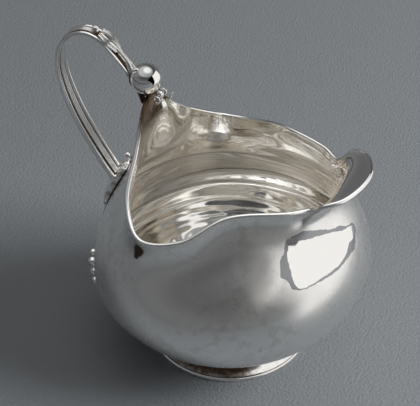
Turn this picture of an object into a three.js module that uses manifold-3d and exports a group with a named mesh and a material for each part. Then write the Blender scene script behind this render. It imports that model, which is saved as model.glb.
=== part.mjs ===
// Silver creamer: a hand raised bowl with a pouring lip, a soldered foot ring and a reeded loop handle.
// Millimetres, +Z up, spout towards +X. The group's origin is the bottom centre of the whole object's box.
import * as THREE from 'three';
import { mergeVertices } from 'three/addons/utils/BufferGeometryUtils.js';
import Module from 'manifold-3d';

const wasm = await Module();
wasm.setup();

// Bowl, driving dimensions
const bellyRadius = 44.7;
const bellyForward = 0.7;
const bellyHeight = 31.9;
const bellyTilt = 3.2;
const baseRadius = 23.5;
const baseSag = 1.0;
const footHeight = 5.6;
const wall = 1.1;
const rimWall = 1.6;
const rimCrest = 0.5;

// Rim, from the tip of the lip to the peak at the back
const spoutReach = 45.6;
const spoutHeight = 75.9;
const lipHalfWidth = 15.7;
const lipCornerReach = 34.6;
const throatReach = 31.2;
const throatHalfWidth = 14.1;
const throatHeight = 70.2;
const sideHalfWidth = 35.2;
const sideHeight = 60.0;
const peakReach = 27.6;
const peakHeight = 88.6;
const peakHalfWidth = 5.1;
const lipFlare = 42;
const lipArm = 10.0;
const lipInset = 8.0;
const lipDrop = 3.5;
const rimDrop = 1.6;
const throatFlare = 34;
const throatArm = 9.0;
const sideFlare = 14;
const sideArm = 11.5;
const peakArm = 27.0;

// Foot ring
const footRadius = 26.4;
const footWall = 1.3;
const footBeadHeight = 1.5;
const footStep = 0.6;

// Ball and handle
const ballRadius = 4.9;
const handleTopReach = 46.6;
const handleTopHeight = 107.4;
const handleBackReach = 56.6;
const handleBackHeight = 94.5;
const handleFootHeight = 52.6;
const strapHalfWidth = 1.9;
const strapHalfPlate = 0.3;
const reedHeight = 0.45;
const reedCount = 3;
const edgeWireRadius = 0.84;

// Ornament on the handle and under the ball
const budLength = 8.2;
const budHalfWidth = 1.9;
const budHeight = 0.95;
const stemLength = 7.0;
const stemHalfWidth = 0.65;
const curlWireRadius = 0.36;
const curlRadius = 1.0;
const sprigBeadRadius = 1.4;
const dropLength = 7.2;
const dropHalfWidth = 1.35;
const sprigCurlRadius = 1.15;
const sprigWireRadius = 0.42;

// Leaf at the foot of the handle
const leafTopHeight = 60.6;
const leafLength = 18.5;
const leafHalfWidth = 4.2;
const leafThickness = 2.4;
const leafEdgeDrop = 0.3;
const topBeadRadius = 1.15;
const leafLobes = 4;
const lobeDepth = 0.7;
const tailLength = 17.0;
const tailHalfWidth = 2.4;
const tailThickness = 1.1;
const sprayReach = 16.8;
const sprayDrop = 11.1;
const sprayWireRadius = 0.6;
const berryRadii = [1.0, 1.25, 1.4, 1.2];
const berrySides = [10.4, 12.6, 13.8, 17.0];
const berryHeights = [27.8, 26.2, 23.6, 23.0];

const seatGap = 0.3;

// Facets
const ribCount = 64;
const lowerRows = 5;
const upperRows = 9;
const bandRows = 2;
const latheSegments = 40;
const handleSteps = 40;

const Y = new THREE.Vector3(0, 1, 0);
const Z = new THREE.Vector3(0, 0, 1);
const lerp = THREE.MathUtils.lerp;
const smooth = (t) => THREE.MathUtils.smoothstep(t, 0, 1);

const silver = (tone, roughness) =>
  new THREE.MeshStandardMaterial({ color: tone, roughness, metalness: 1.0 });
const POLISHED = '#dcdad5';
const WORN = '#c4c0b8';
const OXIDISED = '#9c958a';

// One closed skin over rings of equal length, each end closed by a fan to its middle.
function skin(rings) {
  const count = rings[0].length;
  const position = [];
  rings.forEach((ring) => ring.forEach((p) => position.push(p.x, p.y, p.z)));
  const index = [];
  for (let r = 0; r < rings.length - 1; r += 1) {
    for (let i = 0; i < count; i += 1) {
      const j = (i + 1) % count;
      const a = r * count + i;
      const b = r * count + j;
      const c = a + count;
      const d = b + count;
      index.push(a, b, d, a, d, c);
    }
  }
  for (const [ring, first, turn] of [[rings[0], 0, 1], [rings.at(-1), (rings.length - 1) * count, -1]]) {
    const middle = ring.reduce((sum, p) => sum.add(p), new THREE.Vector3()).divideScalar(count);
    const apex = position.length / 3;
    position.push(middle.x, middle.y, middle.z);
    for (let i = 0; i < count; i += 1) {
      const j = (i + 1) % count;
      const [a, b] = turn > 0 ? [j, i] : [i, j];
      index.push(first + a, first + b, apex);
    }
  }
  const geometry = new THREE.BufferGeometry();
  geometry.setAttribute('position', new THREE.Float32BufferAttribute(position, 3));
  geometry.setIndex(index);
  return outward(geometry);
}

// Turns a closed skin the right way round: its signed volume has to be positive.
function outward(geometry) {
  const p = geometry.attributes.position;
  const index = geometry.index.array;
  const [a, b, c] = [new THREE.Vector3(), new THREE.Vector3(), new THREE.Vector3()];
  let volume = 0;
  for (let i = 0; i < index.length; i += 3) {
    a.fromBufferAttribute(p, index[i]);
    b.fromBufferAttribute(p, index[i + 1]);
    c.fromBufferAttribute(p, index[i + 2]);
    volume += a.dot(b.cross(c));
  }
  if (volume < 0) {
    for (let i = 0; i < index.length; i += 3) {
      [index[i], index[i + 1]] = [index[i + 1], index[i]];
    }
  }
  return geometry;
}

function toSolid(geometry) {
  const bare = geometry.clone();
  bare.deleteAttribute('normal');
  bare.deleteAttribute('uv');
  const merged = mergeVertices(bare, 1e-4);
  return new wasm.Manifold(new wasm.Mesh({
    numProp: 3,
    vertProperties: new Float32Array(merged.attributes.position.array),
    triVerts: new Uint32Array(merged.index.array),
  }));
}

// The piece less each tool. Of what is left, the largest body stays.
function trimmed(geometry, ...tools) {
  const cut = tools.reduce((piece, tool) => piece.subtract(toSolid(tool)), toSolid(geometry));
  const largest = cut.decompose().sort((a, b) => b.volume() - a.volume())[0];
  const mesh = largest.getMesh();
  const result = new THREE.BufferGeometry();
  result.setAttribute('position', new THREE.Float32BufferAttribute(mesh.vertProperties, 3));
  result.setIndex([...mesh.triVerts]);
  return result;
}

// Rim: reach, half width and height. Then the neck under it: its outward flare in degrees, and how far down
// the flare is felt. Last the way from the rim to the neck that it turns out from: back, to the side and up.
const rimHalf = [
  [spoutReach, 0, spoutHeight, lipFlare, lipArm, -lipInset, 0, -lipDrop],
  [spoutReach - 4.4, 0.79 * lipHalfWidth, spoutHeight - 1.2, lipFlare, lipArm,
    -0.54 * lipInset, -0.25 * lipInset, -0.72 * lipDrop],
  [lipCornerReach, lipHalfWidth, spoutHeight - 2.7, lipFlare + 8, lipArm, -0.3, -0.5, -rimDrop],
  [throatReach, throatHalfWidth, throatHeight, throatFlare, throatArm, -0.3, -0.4, -rimDrop],
  [throatReach - 5.8, throatHalfWidth + 4.2, throatHeight - 0.1, 0.6 * throatFlare, throatArm,
    -0.3, -0.5, -rimDrop],
  [throatReach - 22.1, throatHalfWidth + 11.4, throatHeight - 1.2, 0.3 * throatFlare, sideArm,
    -0.1, -0.35, -rimDrop],
  [throatReach - 34.3, sideHalfWidth - 1.2, sideHeight + 2.4, 0.8 * sideFlare, sideArm, 0, -0.4, -rimDrop],
  [throatReach - 47.5, sideHalfWidth, sideHeight + 0.5, sideFlare, sideArm, 0.1, -0.4, -rimDrop],
  [3.2 - peakReach, sideHalfWidth - 8.8, sideHeight + 6.8, 0.6 * sideFlare, 1.2 * sideArm,
    0.15, -0.15, -rimDrop],
  [1.4 - peakReach, peakHalfWidth + 9.4, peakHeight - 11.4, 3, 0.75 * peakArm, 0.1, 0, -rimDrop],
  [0.2 - peakReach, peakHalfWidth, peakHeight - 2.2, 0, peakArm, 0, 0, -rimDrop],
  [-peakReach, 0, peakHeight, 0, peakArm, 0, 0, -rimDrop],
];
const rimFull = [...rimHalf, ...rimHalf.slice(1, -1).reverse().map(
  ([x, y, z, flare, arm, back, side, up]) => [x, -y, z, flare, arm, back, -side, up])];
const rimCurve = new THREE.CatmullRomCurve3(
  rimFull.map(([x, y, z]) => new THREE.Vector3(x, y, z)), true, 'centripetal');
rimCurve.arcLengthDivisions = 800;
const neckCurve = new THREE.CatmullRomCurve3(
  rimFull.map(([, , , flare, arm]) => new THREE.Vector3(flare, arm, 0)), true, 'catmullrom', 0.5);
const insetCurve = new THREE.CatmullRomCurve3(
  rimFull.map(([, , , , , back, side, up]) => new THREE.Vector3(back, side, up)), true, 'catmullrom', 0.5);

// Share of the rim's length at each angle round the bowl, in steps of half a degree over one half.
const angleSteps = 360;
const stepAngle = Math.PI / angleSteps;
const shareByAngle = Array.from({ length: angleSteps + 1 }, (_, i) => {
  let [low, high] = [0, 0.5];
  for (let k = 0; k < 40; k += 1) {
    const middle = (low + high) / 2;
    const rim = rimCurve.getPointAt(middle);
    if (Math.atan2(rim.y, rim.x) < i * stepAngle) low = middle;
    else high = middle;
  }
  return (low + high) / 2;
});
function fromTable(table, angle, blend) {
  const place = Math.min(angle / stepAngle, angleSteps);
  const below = Math.min(Math.floor(place), angleSteps - 1);
  return blend(table[below], table[below + 1], place - below);
}
// Round the spout the metal is drawn forward, so ribs there lean towards the lip as they rise.
const spoutAngle = THREE.MathUtils.degToRad(75);
const spoutShare = fromTable(shareByAngle, spoutAngle, lerp);
const spoutSlope = (fromTable(shareByAngle, spoutAngle + stepAngle, lerp) - spoutShare) / stepAngle;
function rimShare(bodyAngle) {
  if (bodyAngle >= spoutAngle) return fromTable(shareByAngle, bodyAngle, lerp);
  const f = bodyAngle / spoutAngle;
  return spoutShare * (f ** 3 - 2 * f * f + f + 3 * f * f - 2 * f ** 3)
    + spoutAngle * spoutSlope * (f ** 3 - f * f);
}

// The rim at one angle of the body, the neck that it turns out from, and control points of the outline as
// radius and height: from the base out to the belly, and from the belly up to the neck.
function outline(bodyAngle) {
  const time = rimCurve.getUtoTmapping(rimShare(bodyAngle));
  const rim = rimCurve.getPoint(time);
  const { x: flareDegrees, y: arm } = neckCurve.getPoint(time);
  const flare = THREE.MathUtils.degToRad(flareDegrees);
  const neck = rim.clone().add(insetCurve.getPoint(time));
  const belly = new THREE.Vector2(
    bellyRadius + bellyForward * Math.cos(bodyAngle), bellyHeight + bellyTilt * Math.cos(bodyAngle));
  const base = new THREE.Vector2(baseRadius, footHeight);
  const edge = new THREE.Vector2(Math.hypot(neck.x, neck.y), neck.z);
  const drop = belly.y - base.y;
  const fullness = 0.42 + 0.08 * Math.max(0, Math.cos(bodyAngle)) ** 2;
  const rise = new THREE.Vector2(belly.x, lerp(belly.y, edge.y, fullness));
  const lean = new THREE.Vector2(edge.x - arm * Math.sin(flare), edge.y - arm * Math.cos(flare));
  return {
    rim,
    neck,
    neckAngle: Math.atan2(Math.abs(neck.y), neck.x),
    lower: [base, new THREE.Vector2(base.x + 0.34 * drop, base.y + 0.23 * drop),
      new THREE.Vector2(belly.x, belly.y - 0.38 * drop), belly],
    upper: [belly, rise, lean, edge],
  };
}

// The rim's quick turns evened out over a fan of neighbouring angles: the rise, the shoulder, the point
// under the neck, the neck, and the neck's lead in angle.
const fanStep = THREE.MathUtils.degToRad(4);
const fanWidth = THREE.MathUtils.degToRad(14);
const fan = Array.from({ length: 21 }, (_, k) => (k - 10) * fanStep);
const fanWeights = fan.map((turn) => Math.exp(-0.5 * (turn / fanWidth) ** 2));
const fanTotal = fanWeights.reduce((a, b) => a + b);
const evenRibs = shareByAngle.map((_, i) => {
  const evened = Array.from({ length: 5 }, () => new THREE.Vector2());
  fan.forEach((turn, k) => {
    const turned = i * stepAngle + turn;
    const folded = Math.min(Math.abs(turned), 2 * Math.PI - Math.abs(turned));
    const side = turned < 0 || turned > Math.PI ? -1 : 1;
    const { neckAngle, upper: [, rise, lean, edge] } = outline(folded);
    const lead = new THREE.Vector2(side * (neckAngle - folded), 0);
    [rise, rise.clone().lerp(lean, 0.5), edge.clone().lerp(lean, 0.75), edge, lead].forEach((p, n) =>
      evened[n].addScaledVector(p, fanWeights[k] / fanTotal));
  });
  return evened;
});
function rib(bodyAngle) {
  const { upper: [belly, , lean, edge], ...rest } = outline(bodyAngle);
  const between = (a, b, f) => a.map((p, k) => p.clone().lerp(b[k], f));
  const [rise, shoulder, evenUnder, evenEdge, { x: evenLead }] = fromTable(evenRibs, bodyAngle, between);
  const start = [belly, belly.clone().lerp(new THREE.Vector2(belly.x, rise.y), 0.75), shoulder];
  return {
    ...rest,
    bodyAngle,
    evenLead,
    upper: [...start, edge.clone().lerp(lean, 0.75), edge],
    evenUpper: [...start, evenUnder, evenEdge],
  };
}

// A point on a curve of any number of control points, by repeated halving between neighbours.
function bezier(points, t) {
  let row = points;
  while (row.length > 1) row = row.slice(1).map((p, i) => row[i].clone().lerp(p, t));
  return row[0];
}
// Round the front the evened ribs carry the wall, and the rim's own turns are left to the top of the neck.
const neckEnd = THREE.MathUtils.degToRad(120);
const neckFade = THREE.MathUtils.degToRad(30);
const neckTop = 0.75;
// How far the band from the neck to the rim keeps the wall's way at first, and the rim's at last.
const bandStart = 0.35;
const bandEnd = 0.45;
function ribPoints({ bodyAngle, rim, neck, neckAngle, evenLead, lower, upper, evenUpper }) {
  const place = ({ x: radius, y: height }, angle) =>
    new THREE.Vector3(radius * Math.cos(angle), radius * Math.sin(angle), height);
  const points = [0.35, 0.7].map((f) =>
    place({ x: f * baseRadius, y: footHeight - baseSag * (1 - f * f) }, bodyAngle));
  for (let i = 0; i < lowerRows; i += 1) points.push(place(bezier(lower, i / lowerRows), bodyAngle));
  const front = smooth((neckEnd - bodyAngle) / neckFade);
  for (let i = 0; i <= upperRows; i += 1) {
    const t = i / upperRows;
    const exact = place(bezier(upper, t), lerp(bodyAngle, neckAngle, smooth(t)));
    const easy = place(bezier(evenUpper, t), bodyAngle + evenLead * smooth(t));
    points.push(exact.lerp(easy, front * (1 - smooth((t - neckTop) / (1 - neckTop)))));
  }
  const rising = place(upper[4].clone().sub(upper[3]), neckAngle).setLength(bandStart * rim.distanceTo(neck));
  const band = [neck, neck.clone().add(rising), rim.clone().lerp(neck, bandEnd), rim];
  for (let i = 1; i <= bandRows; i += 1) points.push(bezier(band, i / bandRows));
  return points;
}

const outerGrid = Array.from({ length: ribCount }, (_, i) => {
  const bodyAngle = 2 * Math.PI * i / ribCount;
  const points = ribPoints(rib(Math.min(bodyAngle, 2 * Math.PI - bodyAngle)));
  return bodyAngle > Math.PI ? points.map((p) => new THREE.Vector3(p.x, -p.y, p.z)) : points;
});
const sharpNormals = outerGrid.map((column, i) => column.map((_, k) => {
  const along = outerGrid[(i + 1) % ribCount][k].clone().sub(outerGrid[(i + ribCount - 1) % ribCount][k]);
  const up = column[Math.min(k + 1, column.length - 1)].clone().sub(column[Math.max(k - 1, 0)]);
  return along.cross(up).normalize();
}));
// Neighbouring ribs share their normals, so the inner face doesn't fold at the lip's corners.
const normalGrid = sharpNormals.map((column, i) => column.map((normal, k) => normal.clone().multiplyScalar(2)
  .add(sharpNormals[(i + 1) % ribCount][k]).add(sharpNormals[(i + ribCount - 1) % ribCount][k]).normalize()));

// The raised shell, or with grow above 0 the room that pieces seated on it keep clear of.
function bowlShell(grow) {
  const rows = outerGrid[0].length;
  const row = (k, depth) => outerGrid.map((column, i) =>
    column[k].clone().addScaledVector(normalGrid[i][k], -depth));
  const thickness = (k) => lerp(wall, rimWall, smooth((k - rows + 3) / 2));
  const outer = Array.from({ length: rows }, (_, k) => row(k, -grow));
  const crest = row(rows - 1, rimWall / 2).map((p) => p.addScaledVector(Z, rimCrest + grow));
  const inner = Array.from({ length: rows }, (_, k) => row(k, thickness(k) + grow)).reverse();
  return skin([...outer, crest, ...inner]);
}

// The bowl's outer face at the back: a point at a sideways place and a height, lifted off the silver.
function backRadius(angle, height) {
  const { lower, upper } = rib(angle);
  const part = height < upper[0].y ? lower : upper;
  let [low, high] = [0, 1];
  for (let i = 0; i < 30; i += 1) {
    const middle = (low + high) / 2;
    if (bezier(part, middle).y < height) low = middle;
    else high = middle;
  }
  return bezier(part, low).x;
}
function backFace(side, height) {
  let radius = backRadius(Math.PI, height);
  let angle = Math.PI;
  for (let i = 0; i < 6; i += 1) {
    angle = Math.PI - Math.asin(Math.abs(side) / radius);
    radius = backRadius(angle, height);
  }
  return new THREE.Vector3(radius * Math.cos(angle), side, height);
}
function backFrame(side, height) {
  const step = 0.2;
  const point = backFace(side, height);
  const across = backFace(side + step, height).sub(backFace(side - step, height)).normalize();
  const up = backFace(side, height + step).sub(backFace(side, height - step)).normalize();
  return { point, across, up, normal: up.clone().cross(across).normalize() };
}
function onBack(side, height, lift) {
  const { point, normal } = backFrame(side, height);
  return point.addScaledVector(normal, lift);
}

// Foot: a coved collar soldered under the bowl, on a half round wire that it stands on.
const footNeck = baseRadius - 0.1;
function footCollar() {
  const top = footHeight - seatGap;
  const low = footBeadHeight + seatGap;
  const flare = (t) => lerp(footRadius - footStep, footNeck, Math.sin(t * Math.PI / 2) ** 0.8);
  const steps = 4;
  const outside = Array.from({ length: steps + 1 }, (_, i) =>
    new THREE.Vector2(flare(i / steps), lerp(low, top, i / steps)));
  const inside = outside.map((p) => new THREE.Vector2(p.x - footWall, p.y)).reverse();
  const profile = [...outside, ...inside];
  return new THREE.LatheGeometry([...profile, profile[0].clone()], latheSegments).rotateX(Math.PI / 2);
}
function footBead() {
  const inside = footRadius - footStep - footWall;
  const radius = footBeadHeight / 2;
  const turn = 0.38 * Math.PI;
  const steps = 4;
  const round = Array.from({ length: steps + 1 }, (_, i) => {
    const a = lerp(-turn, turn, i / steps);
    return new THREE.Vector2(footRadius - radius + radius * Math.cos(a),
      radius + radius * Math.sin(a) / Math.sin(turn));
  });
  const profile = [new THREE.Vector2(inside, 0), ...round, new THREE.Vector2(inside, footBeadHeight)];
  return new THREE.LatheGeometry([...profile, profile[0].clone()], latheSegments).rotateX(Math.PI / 2);
}

// Ball on the peak of the rim.
const ballReach = peakReach + 0.1;
const ballHeight = peakHeight + rimCrest + seatGap + ballRadius;
const ballCentre = new THREE.Vector3(-ballReach, 0, ballHeight);
const ball = (radius) => new THREE.SphereGeometry(radius, 24, 16).rotateX(Math.PI / 2)
  .translate(...ballCentre.toArray());

// Handle centre line: up the back of the peak, past the ball, over the bow and down to the belly.
const bow = (turnDeg, reach) => {
  const a = THREE.MathUtils.degToRad(turnDeg);
  return [handleTopReach + reach * Math.sin(a),
    handleBackHeight + (handleTopHeight - handleBackHeight) * Math.cos(a)];
};
const bowReach = handleBackReach - handleTopReach;
const footReach = -backFace(0, handleFootHeight).x;
const leg = (f, bulge) => [lerp(handleBackReach, footReach, f) + bulge,
  lerp(handleBackHeight, handleFootHeight, f)];
const besideBall = (deg) => {
  const a = THREE.MathUtils.degToRad(deg);
  const clear = ballRadius + seatGap + strapHalfPlate / 3;
  return [ballReach + clear * Math.cos(a), ballHeight + clear * Math.sin(a)];
};
const handleLine = [
  [peakReach + 1.1, peakHeight - 3.2],
  besideBall(-60),
  besideBall(-25),
  besideBall(12),
  [ballReach + ballRadius + 4.4, ballHeight + 6.6],
  bow(-28, bowReach),
  bow(0, bowReach),
  bow(30, bowReach),
  bow(60, bowReach),
  bow(90, bowReach),
  leg(0.18, 2.4),
  leg(0.45, 3.6),
  leg(0.72, 2.6),
  leg(1.0, 0.2),
  leg(1.06, -1.2),
];
const handleCurve = new THREE.CatmullRomCurve3(
  handleLine.map(([reach, height]) => new THREE.Vector3(-reach, 0, height)), false, 'centripetal');
const handleLength = handleCurve.getLength();

// A place on the handle: distance along it, sideways, and out from its middle on the outer side.
function onHandle(distance, side, out) {
  const u = THREE.MathUtils.clamp(distance / handleLength, 0, 1);
  const tangent = handleCurve.getTangentAt(u);
  const normal = Y.clone().cross(tangent);
  return handleCurve.getPointAt(u).addScaledVector(Y, side).addScaledVector(normal, out);
}
// The strap is slimmest behind the ball and widens down the leg.
const slimStrap = 0.66;
const slimWire = 0.78;
const wireStart = 0.42;
const legShare = (distance) => smooth((distance / handleLength - 0.3) / 0.35);
const strapGrowth = (distance) => lerp(slimStrap, 1, legShare(distance));
const bowShare = (distance) => smooth((distance / handleLength - 0.04) / 0.22);
const wireGrowth = (distance) =>
  edgeWireRadius * lerp(lerp(wireStart, slimWire, bowShare(distance)), 1, legShare(distance));
const reedGrowth = (distance) => lerp(0.3, 1, bowShare(distance));
// The edge wires begin beside the ball, where the strap turns away from it.
const wireFrom = 10.6;
const handleStations = Array.from({ length: handleSteps + 1 }, (_, i) => handleLength * i / handleSteps);

// Section of the strap: a thin plate with rounded reeds on both faces.
const reedPitch = 1.5 * strapHalfWidth / reedCount;
function strapSection() {
  const face = [[-strapHalfWidth, strapHalfPlate, 0]];
  for (let reed = 0; reed < reedCount; reed += 1) {
    const middle = (reed - (reedCount - 1) / 2) * reedPitch;
    if (reed === 0) face.push([middle - reedPitch / 2, strapHalfPlate, 0]);
    face.push([middle, strapHalfPlate, reedHeight]);
    face.push([middle + reedPitch / 2, strapHalfPlate, reed === reedCount - 1 ? 0 : reedHeight / 3]);
  }
  face.push([strapHalfWidth, strapHalfPlate, 0]);
  return [...face, ...face.map(([side, plate, reed]) => [side, -plate, -reed]).reverse()];
}
function handleStrap() {
  const section = strapSection();
  return skin(handleStations.map((d) =>
    section.map(([side, plate, reed]) =>
      onHandle(d, side * strapGrowth(d), plate + reed * reedGrowth(d)))));
}
const wireSide = (distance) => strapHalfWidth * strapGrowth(distance) + seatGap + wireGrowth(distance);
function handleWire(hand) {
  const sides = 8;
  const stations = handleStations.map((d) => lerp(wireFrom, handleLength, d / handleLength));
  return skin(stations.map((d) => Array.from({ length: sides }, (_, i) => {
    const a = 2 * Math.PI * i / sides;
    return onHandle(d, hand * wireSide(d) + wireGrowth(d) * Math.cos(a), wireGrowth(d) * Math.sin(a));
  })));
}

// A round wire along points, thinning to its end by the given share.
function wire(points, radius, taper, steps, sides) {
  const curve = new THREE.CatmullRomCurve3(points, false, 'centripetal');
  const frames = curve.computeFrenetFrames(steps, false);
  return skin(Array.from({ length: steps + 1 }, (_, k) => {
    const centre = curve.getPointAt(k / steps);
    const r = radius * (1 - taper * k / steps);
    return Array.from({ length: sides }, (_, i) => {
      const a = 2 * Math.PI * i / sides;
      return centre.clone().addScaledVector(frames.normals[k], r * Math.cos(a))
        .addScaledVector(frames.binormals[k], r * Math.sin(a));
    });
  }));
}

// Applied ornament on the outer face of the handle: a stem out of the ball that opens into a ribbed bud.
const reedTop = strapHalfPlate + reedHeight;
const applied = reedTop + seatGap;
const stemStart = (() => {
  let distance = 0;
  let nearest = Infinity;
  for (let d = 0; d < handleLength / 3; d += 0.05) {
    const gap = onHandle(d, 0, applied).distanceTo(ballCentre);
    if (gap < nearest) {
      nearest = gap;
      distance = d;
    }
  }
  return distance + 1.2;
})();
const budStart = stemStart + stemLength;
const budEnd = budStart + budLength;
const budWidth = (d) => {
  const t = (d - budStart) / budLength;
  return lerp(1.1 * stemHalfWidth, budHalfWidth, smooth(t / 0.6)) * (1 - 0.35 * smooth((t - 0.7) / 0.3));
};
function appliedLoft(from, to, steps, halfWidth, height) {
  const section = [[-1, 0], [-0.95, 0.5], [-0.6, 1], [-0.25, 0.72], [0, 1.05], [0.25, 0.72], [0.6, 1],
    [0.95, 0.5], [1, 0]];
  return skin(Array.from({ length: steps + 1 }, (_, k) => {
    const d = lerp(from, to, k / steps);
    return section.map(([side, rise]) => onHandle(d, side * halfWidth(d), applied + rise * height(d)));
  }));
}
const stem = () => appliedLoft(stemStart, budStart - seatGap, 10,
  (d) => stemHalfWidth * (1 + 1.1 * smooth(1 - (d - stemStart) / (0.6 * stemLength))), () => budHeight);
const bud = () => appliedLoft(budStart, budEnd, 12, budWidth,
  (d) => budHeight * (1 + 0.25 * Math.sin(Math.PI * (d - budStart) / budLength)));
function budWire(hand) {
  const out = applied + curlWireRadius;
  const beside = curlWireRadius + seatGap;
  const edge = [0.12, 0.4, 0.7, 1].map((t) => {
    const d = lerp(budStart, budEnd, t);
    return onHandle(d, hand * (budWidth(d) + beside), out);
  });
  return wire(edge, curlWireRadius, 0.25, 16, 6);
}
// One open coil of wire lies on the middle of the strap beyond the bud.
function budCurl() {
  const centre = budEnd + seatGap + curlWireRadius + curlRadius;
  const turns = Array.from({ length: 9 }, (_, i) => {
    const a = THREE.MathUtils.degToRad(-140 + 52 * i);
    const r = curlRadius * (1 - 0.09 * i);
    return onHandle(centre + r * Math.sin(a), r * Math.cos(a), applied + curlWireRadius + 0.12 * i);
  });
  return wire(turns, curlWireRadius, 0.25, 28, 6);
}

// Sprig under the ball, inside the mouth: a berry, a hanging pointed leaf, a tip and two curls.
const sprigSlope = THREE.MathUtils.degToRad(-46);
const sprigArm = ballRadius + seatGap + sprigBeadRadius;
const sprigCentre = ballCentre.clone().add(
  new THREE.Vector3(sprigArm * Math.cos(sprigSlope), 0, sprigArm * Math.sin(sprigSlope)));
const bead = (radius, centre, wide, high) => new THREE.SphereGeometry(radius, wide, high)
  .rotateX(Math.PI / 2).translate(...centre.toArray());
function sprigDrop() {
  const lean = THREE.MathUtils.degToRad(17);
  const along = new THREE.Vector3(Math.sin(lean), 0, -Math.cos(lean));
  const face = new THREE.Vector3(Math.cos(lean), 0, Math.sin(lean));
  const top = sprigCentre.clone().addScaledVector(along, sprigBeadRadius + seatGap);
  const steps = 12;
  return skin(Array.from({ length: steps + 1 }, (_, k) => {
    const t = lerp(0.02, 0.985, k / steps);
    const half = dropHalfWidth * Math.sin(Math.PI * t ** 0.62) + 0.06;
    return Array.from({ length: 8 }, (_, i) => {
      const a = 2 * Math.PI * i / 8;
      return top.clone().addScaledVector(along, dropLength * t).addScaledVector(Y, half * Math.cos(a))
        .addScaledVector(face, 0.55 * half * Math.sin(a));
    });
  }));
}
function sprigTip() {
  const reach = sprigBeadRadius + seatGap + sprigWireRadius;
  const at = (forward, up) => sprigCentre.clone().add(new THREE.Vector3(reach + forward, 0, up));
  const line = [at(0, -1.5), at(0.7, -1.2), at(1.3, -0.2), at(1.7, 1.1), at(2.2, 2.0)];
  return wire(line, sprigWireRadius, 0.35, 12, 6);
}
function sprigCurl(hand) {
  const side = hand * (sprigBeadRadius + seatGap + sprigWireRadius);
  const points = Array.from({ length: 8 }, (_, i) => {
    const a = THREE.MathUtils.degToRad(200 - 46 * i);
    const r = sprigCurlRadius * (1 - 0.05 * i);
    return sprigCentre.clone().add(
      new THREE.Vector3(r * Math.cos(a), side + hand * 0.12 * i, r * Math.sin(a) - 0.6));
  });
  return wire(points, sprigWireRadius, 0.2, 20, 6);
}

// Leaf plate under the foot of the handle: a scalloped, domed plate that follows the bowl.
function leafPlate(grow) {
  const steps = 32;
  const half = (t) => {
    const lobe = Math.abs(Math.sin(Math.PI * leafLobes * t));
    const ends = Math.min(1, 0.35 + 3.2 * Math.sin(Math.PI * t));
    return (leafHalfWidth - lobeDepth + lobeDepth * lobe) * ends + grow;
  };
  const lift = (v, t) => {
    const ends = Math.min(1, 0.5 + 2.5 * t, 0.1 + 4.2 * (1 - t));
    return seatGap + leafThickness * (1 - leafEdgeDrop * v * v) * ends + grow;
  };
  const across = [-1, -0.6, -0.2, 0.2, 0.6, 1];
  return skin(Array.from({ length: steps + 1 }, (_, k) => {
    const t = lerp(0.012, 0.988, k / steps);
    const height = lerp(leafTopHeight + grow, leafTopHeight - leafLength - grow, k / steps);
    const top = across.map((v) => onBack(v * half(t), height, lift(v, t)));
    const under = across.map((v) => onBack(v * half(t), height, grow > 0 ? -seatGap : seatGap)).reverse();
    return [...top, ...under];
  }));
}
const leafFoot = leafTopHeight - leafLength;
const leafTopBead = () => bead(topBeadRadius,
  onBack(0, leafTopHeight + topBeadRadius + seatGap, topBeadRadius + 3 * seatGap), 12, 8);
function leafTail() {
  const steps = 14;
  const top = leafFoot - seatGap;
  const across = [-1, -0.6, -0.15, 0, 0.15, 0.6, 1];
  const rise = [0.25, 0.8, 0.75, 1.15, 0.75, 0.8, 0.25];
  return skin(Array.from({ length: steps + 1 }, (_, k) => {
    const t = lerp(0.03, 0.985, k / steps);
    const half = tailHalfWidth * Math.sin(Math.PI * t ** 0.7) + 0.12;
    const height = top - tailLength * k / steps;
    const swell = tailThickness * (0.35 + 0.65 * Math.sin(Math.PI * t));
    const face = across.map((v, i) => onBack(v * half, height, seatGap + rise[i] * swell));
    const under = across.map((v) => onBack(v * half, height, seatGap)).reverse();
    return [...face, ...under];
  }));
}
// Side sprays: a wire from beside the tail round the belly, with berries soldered along its outer side.
const sprayTop = leafFoot - sprayDrop;
const sprayLine = [[0.2, 0], [0.31, -1.0], [0.43, -2.6], [0.57, -5.2], [0.68, -8.3], [0.83, -10.5],
  [1.0, -10.7]];
function spray(hand) {
  const points = sprayLine.map(([share, drop]) =>
    onBack(hand * share * sprayReach, sprayTop + drop, seatGap + sprayWireRadius));
  return wire(points, sprayWireRadius, 0.3, 20, 6);
}
function berry(hand, place) {
  const radius = berryRadii[place];
  return bead(radius, onBack(hand * berrySides[place], berryHeights[place], radius + seatGap), 10, 6);
}

// Assembly
const creamer = new THREE.Group();
const frame = new THREE.Group();
creamer.add(frame);
function add(name, geometry, tone, roughness) {
  const mesh = new THREE.Mesh(geometry, silver(tone, roughness));
  mesh.name = name;
  frame.add(mesh);
}

const bowl = bowlShell(0);
const bowlRoom = bowlShell(seatGap);
const ballRoom = ball(ballRadius + seatGap);
const leafRoom = leafPlate(seatGap);
const hands = [['left', 1], ['right', -1]];

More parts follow.
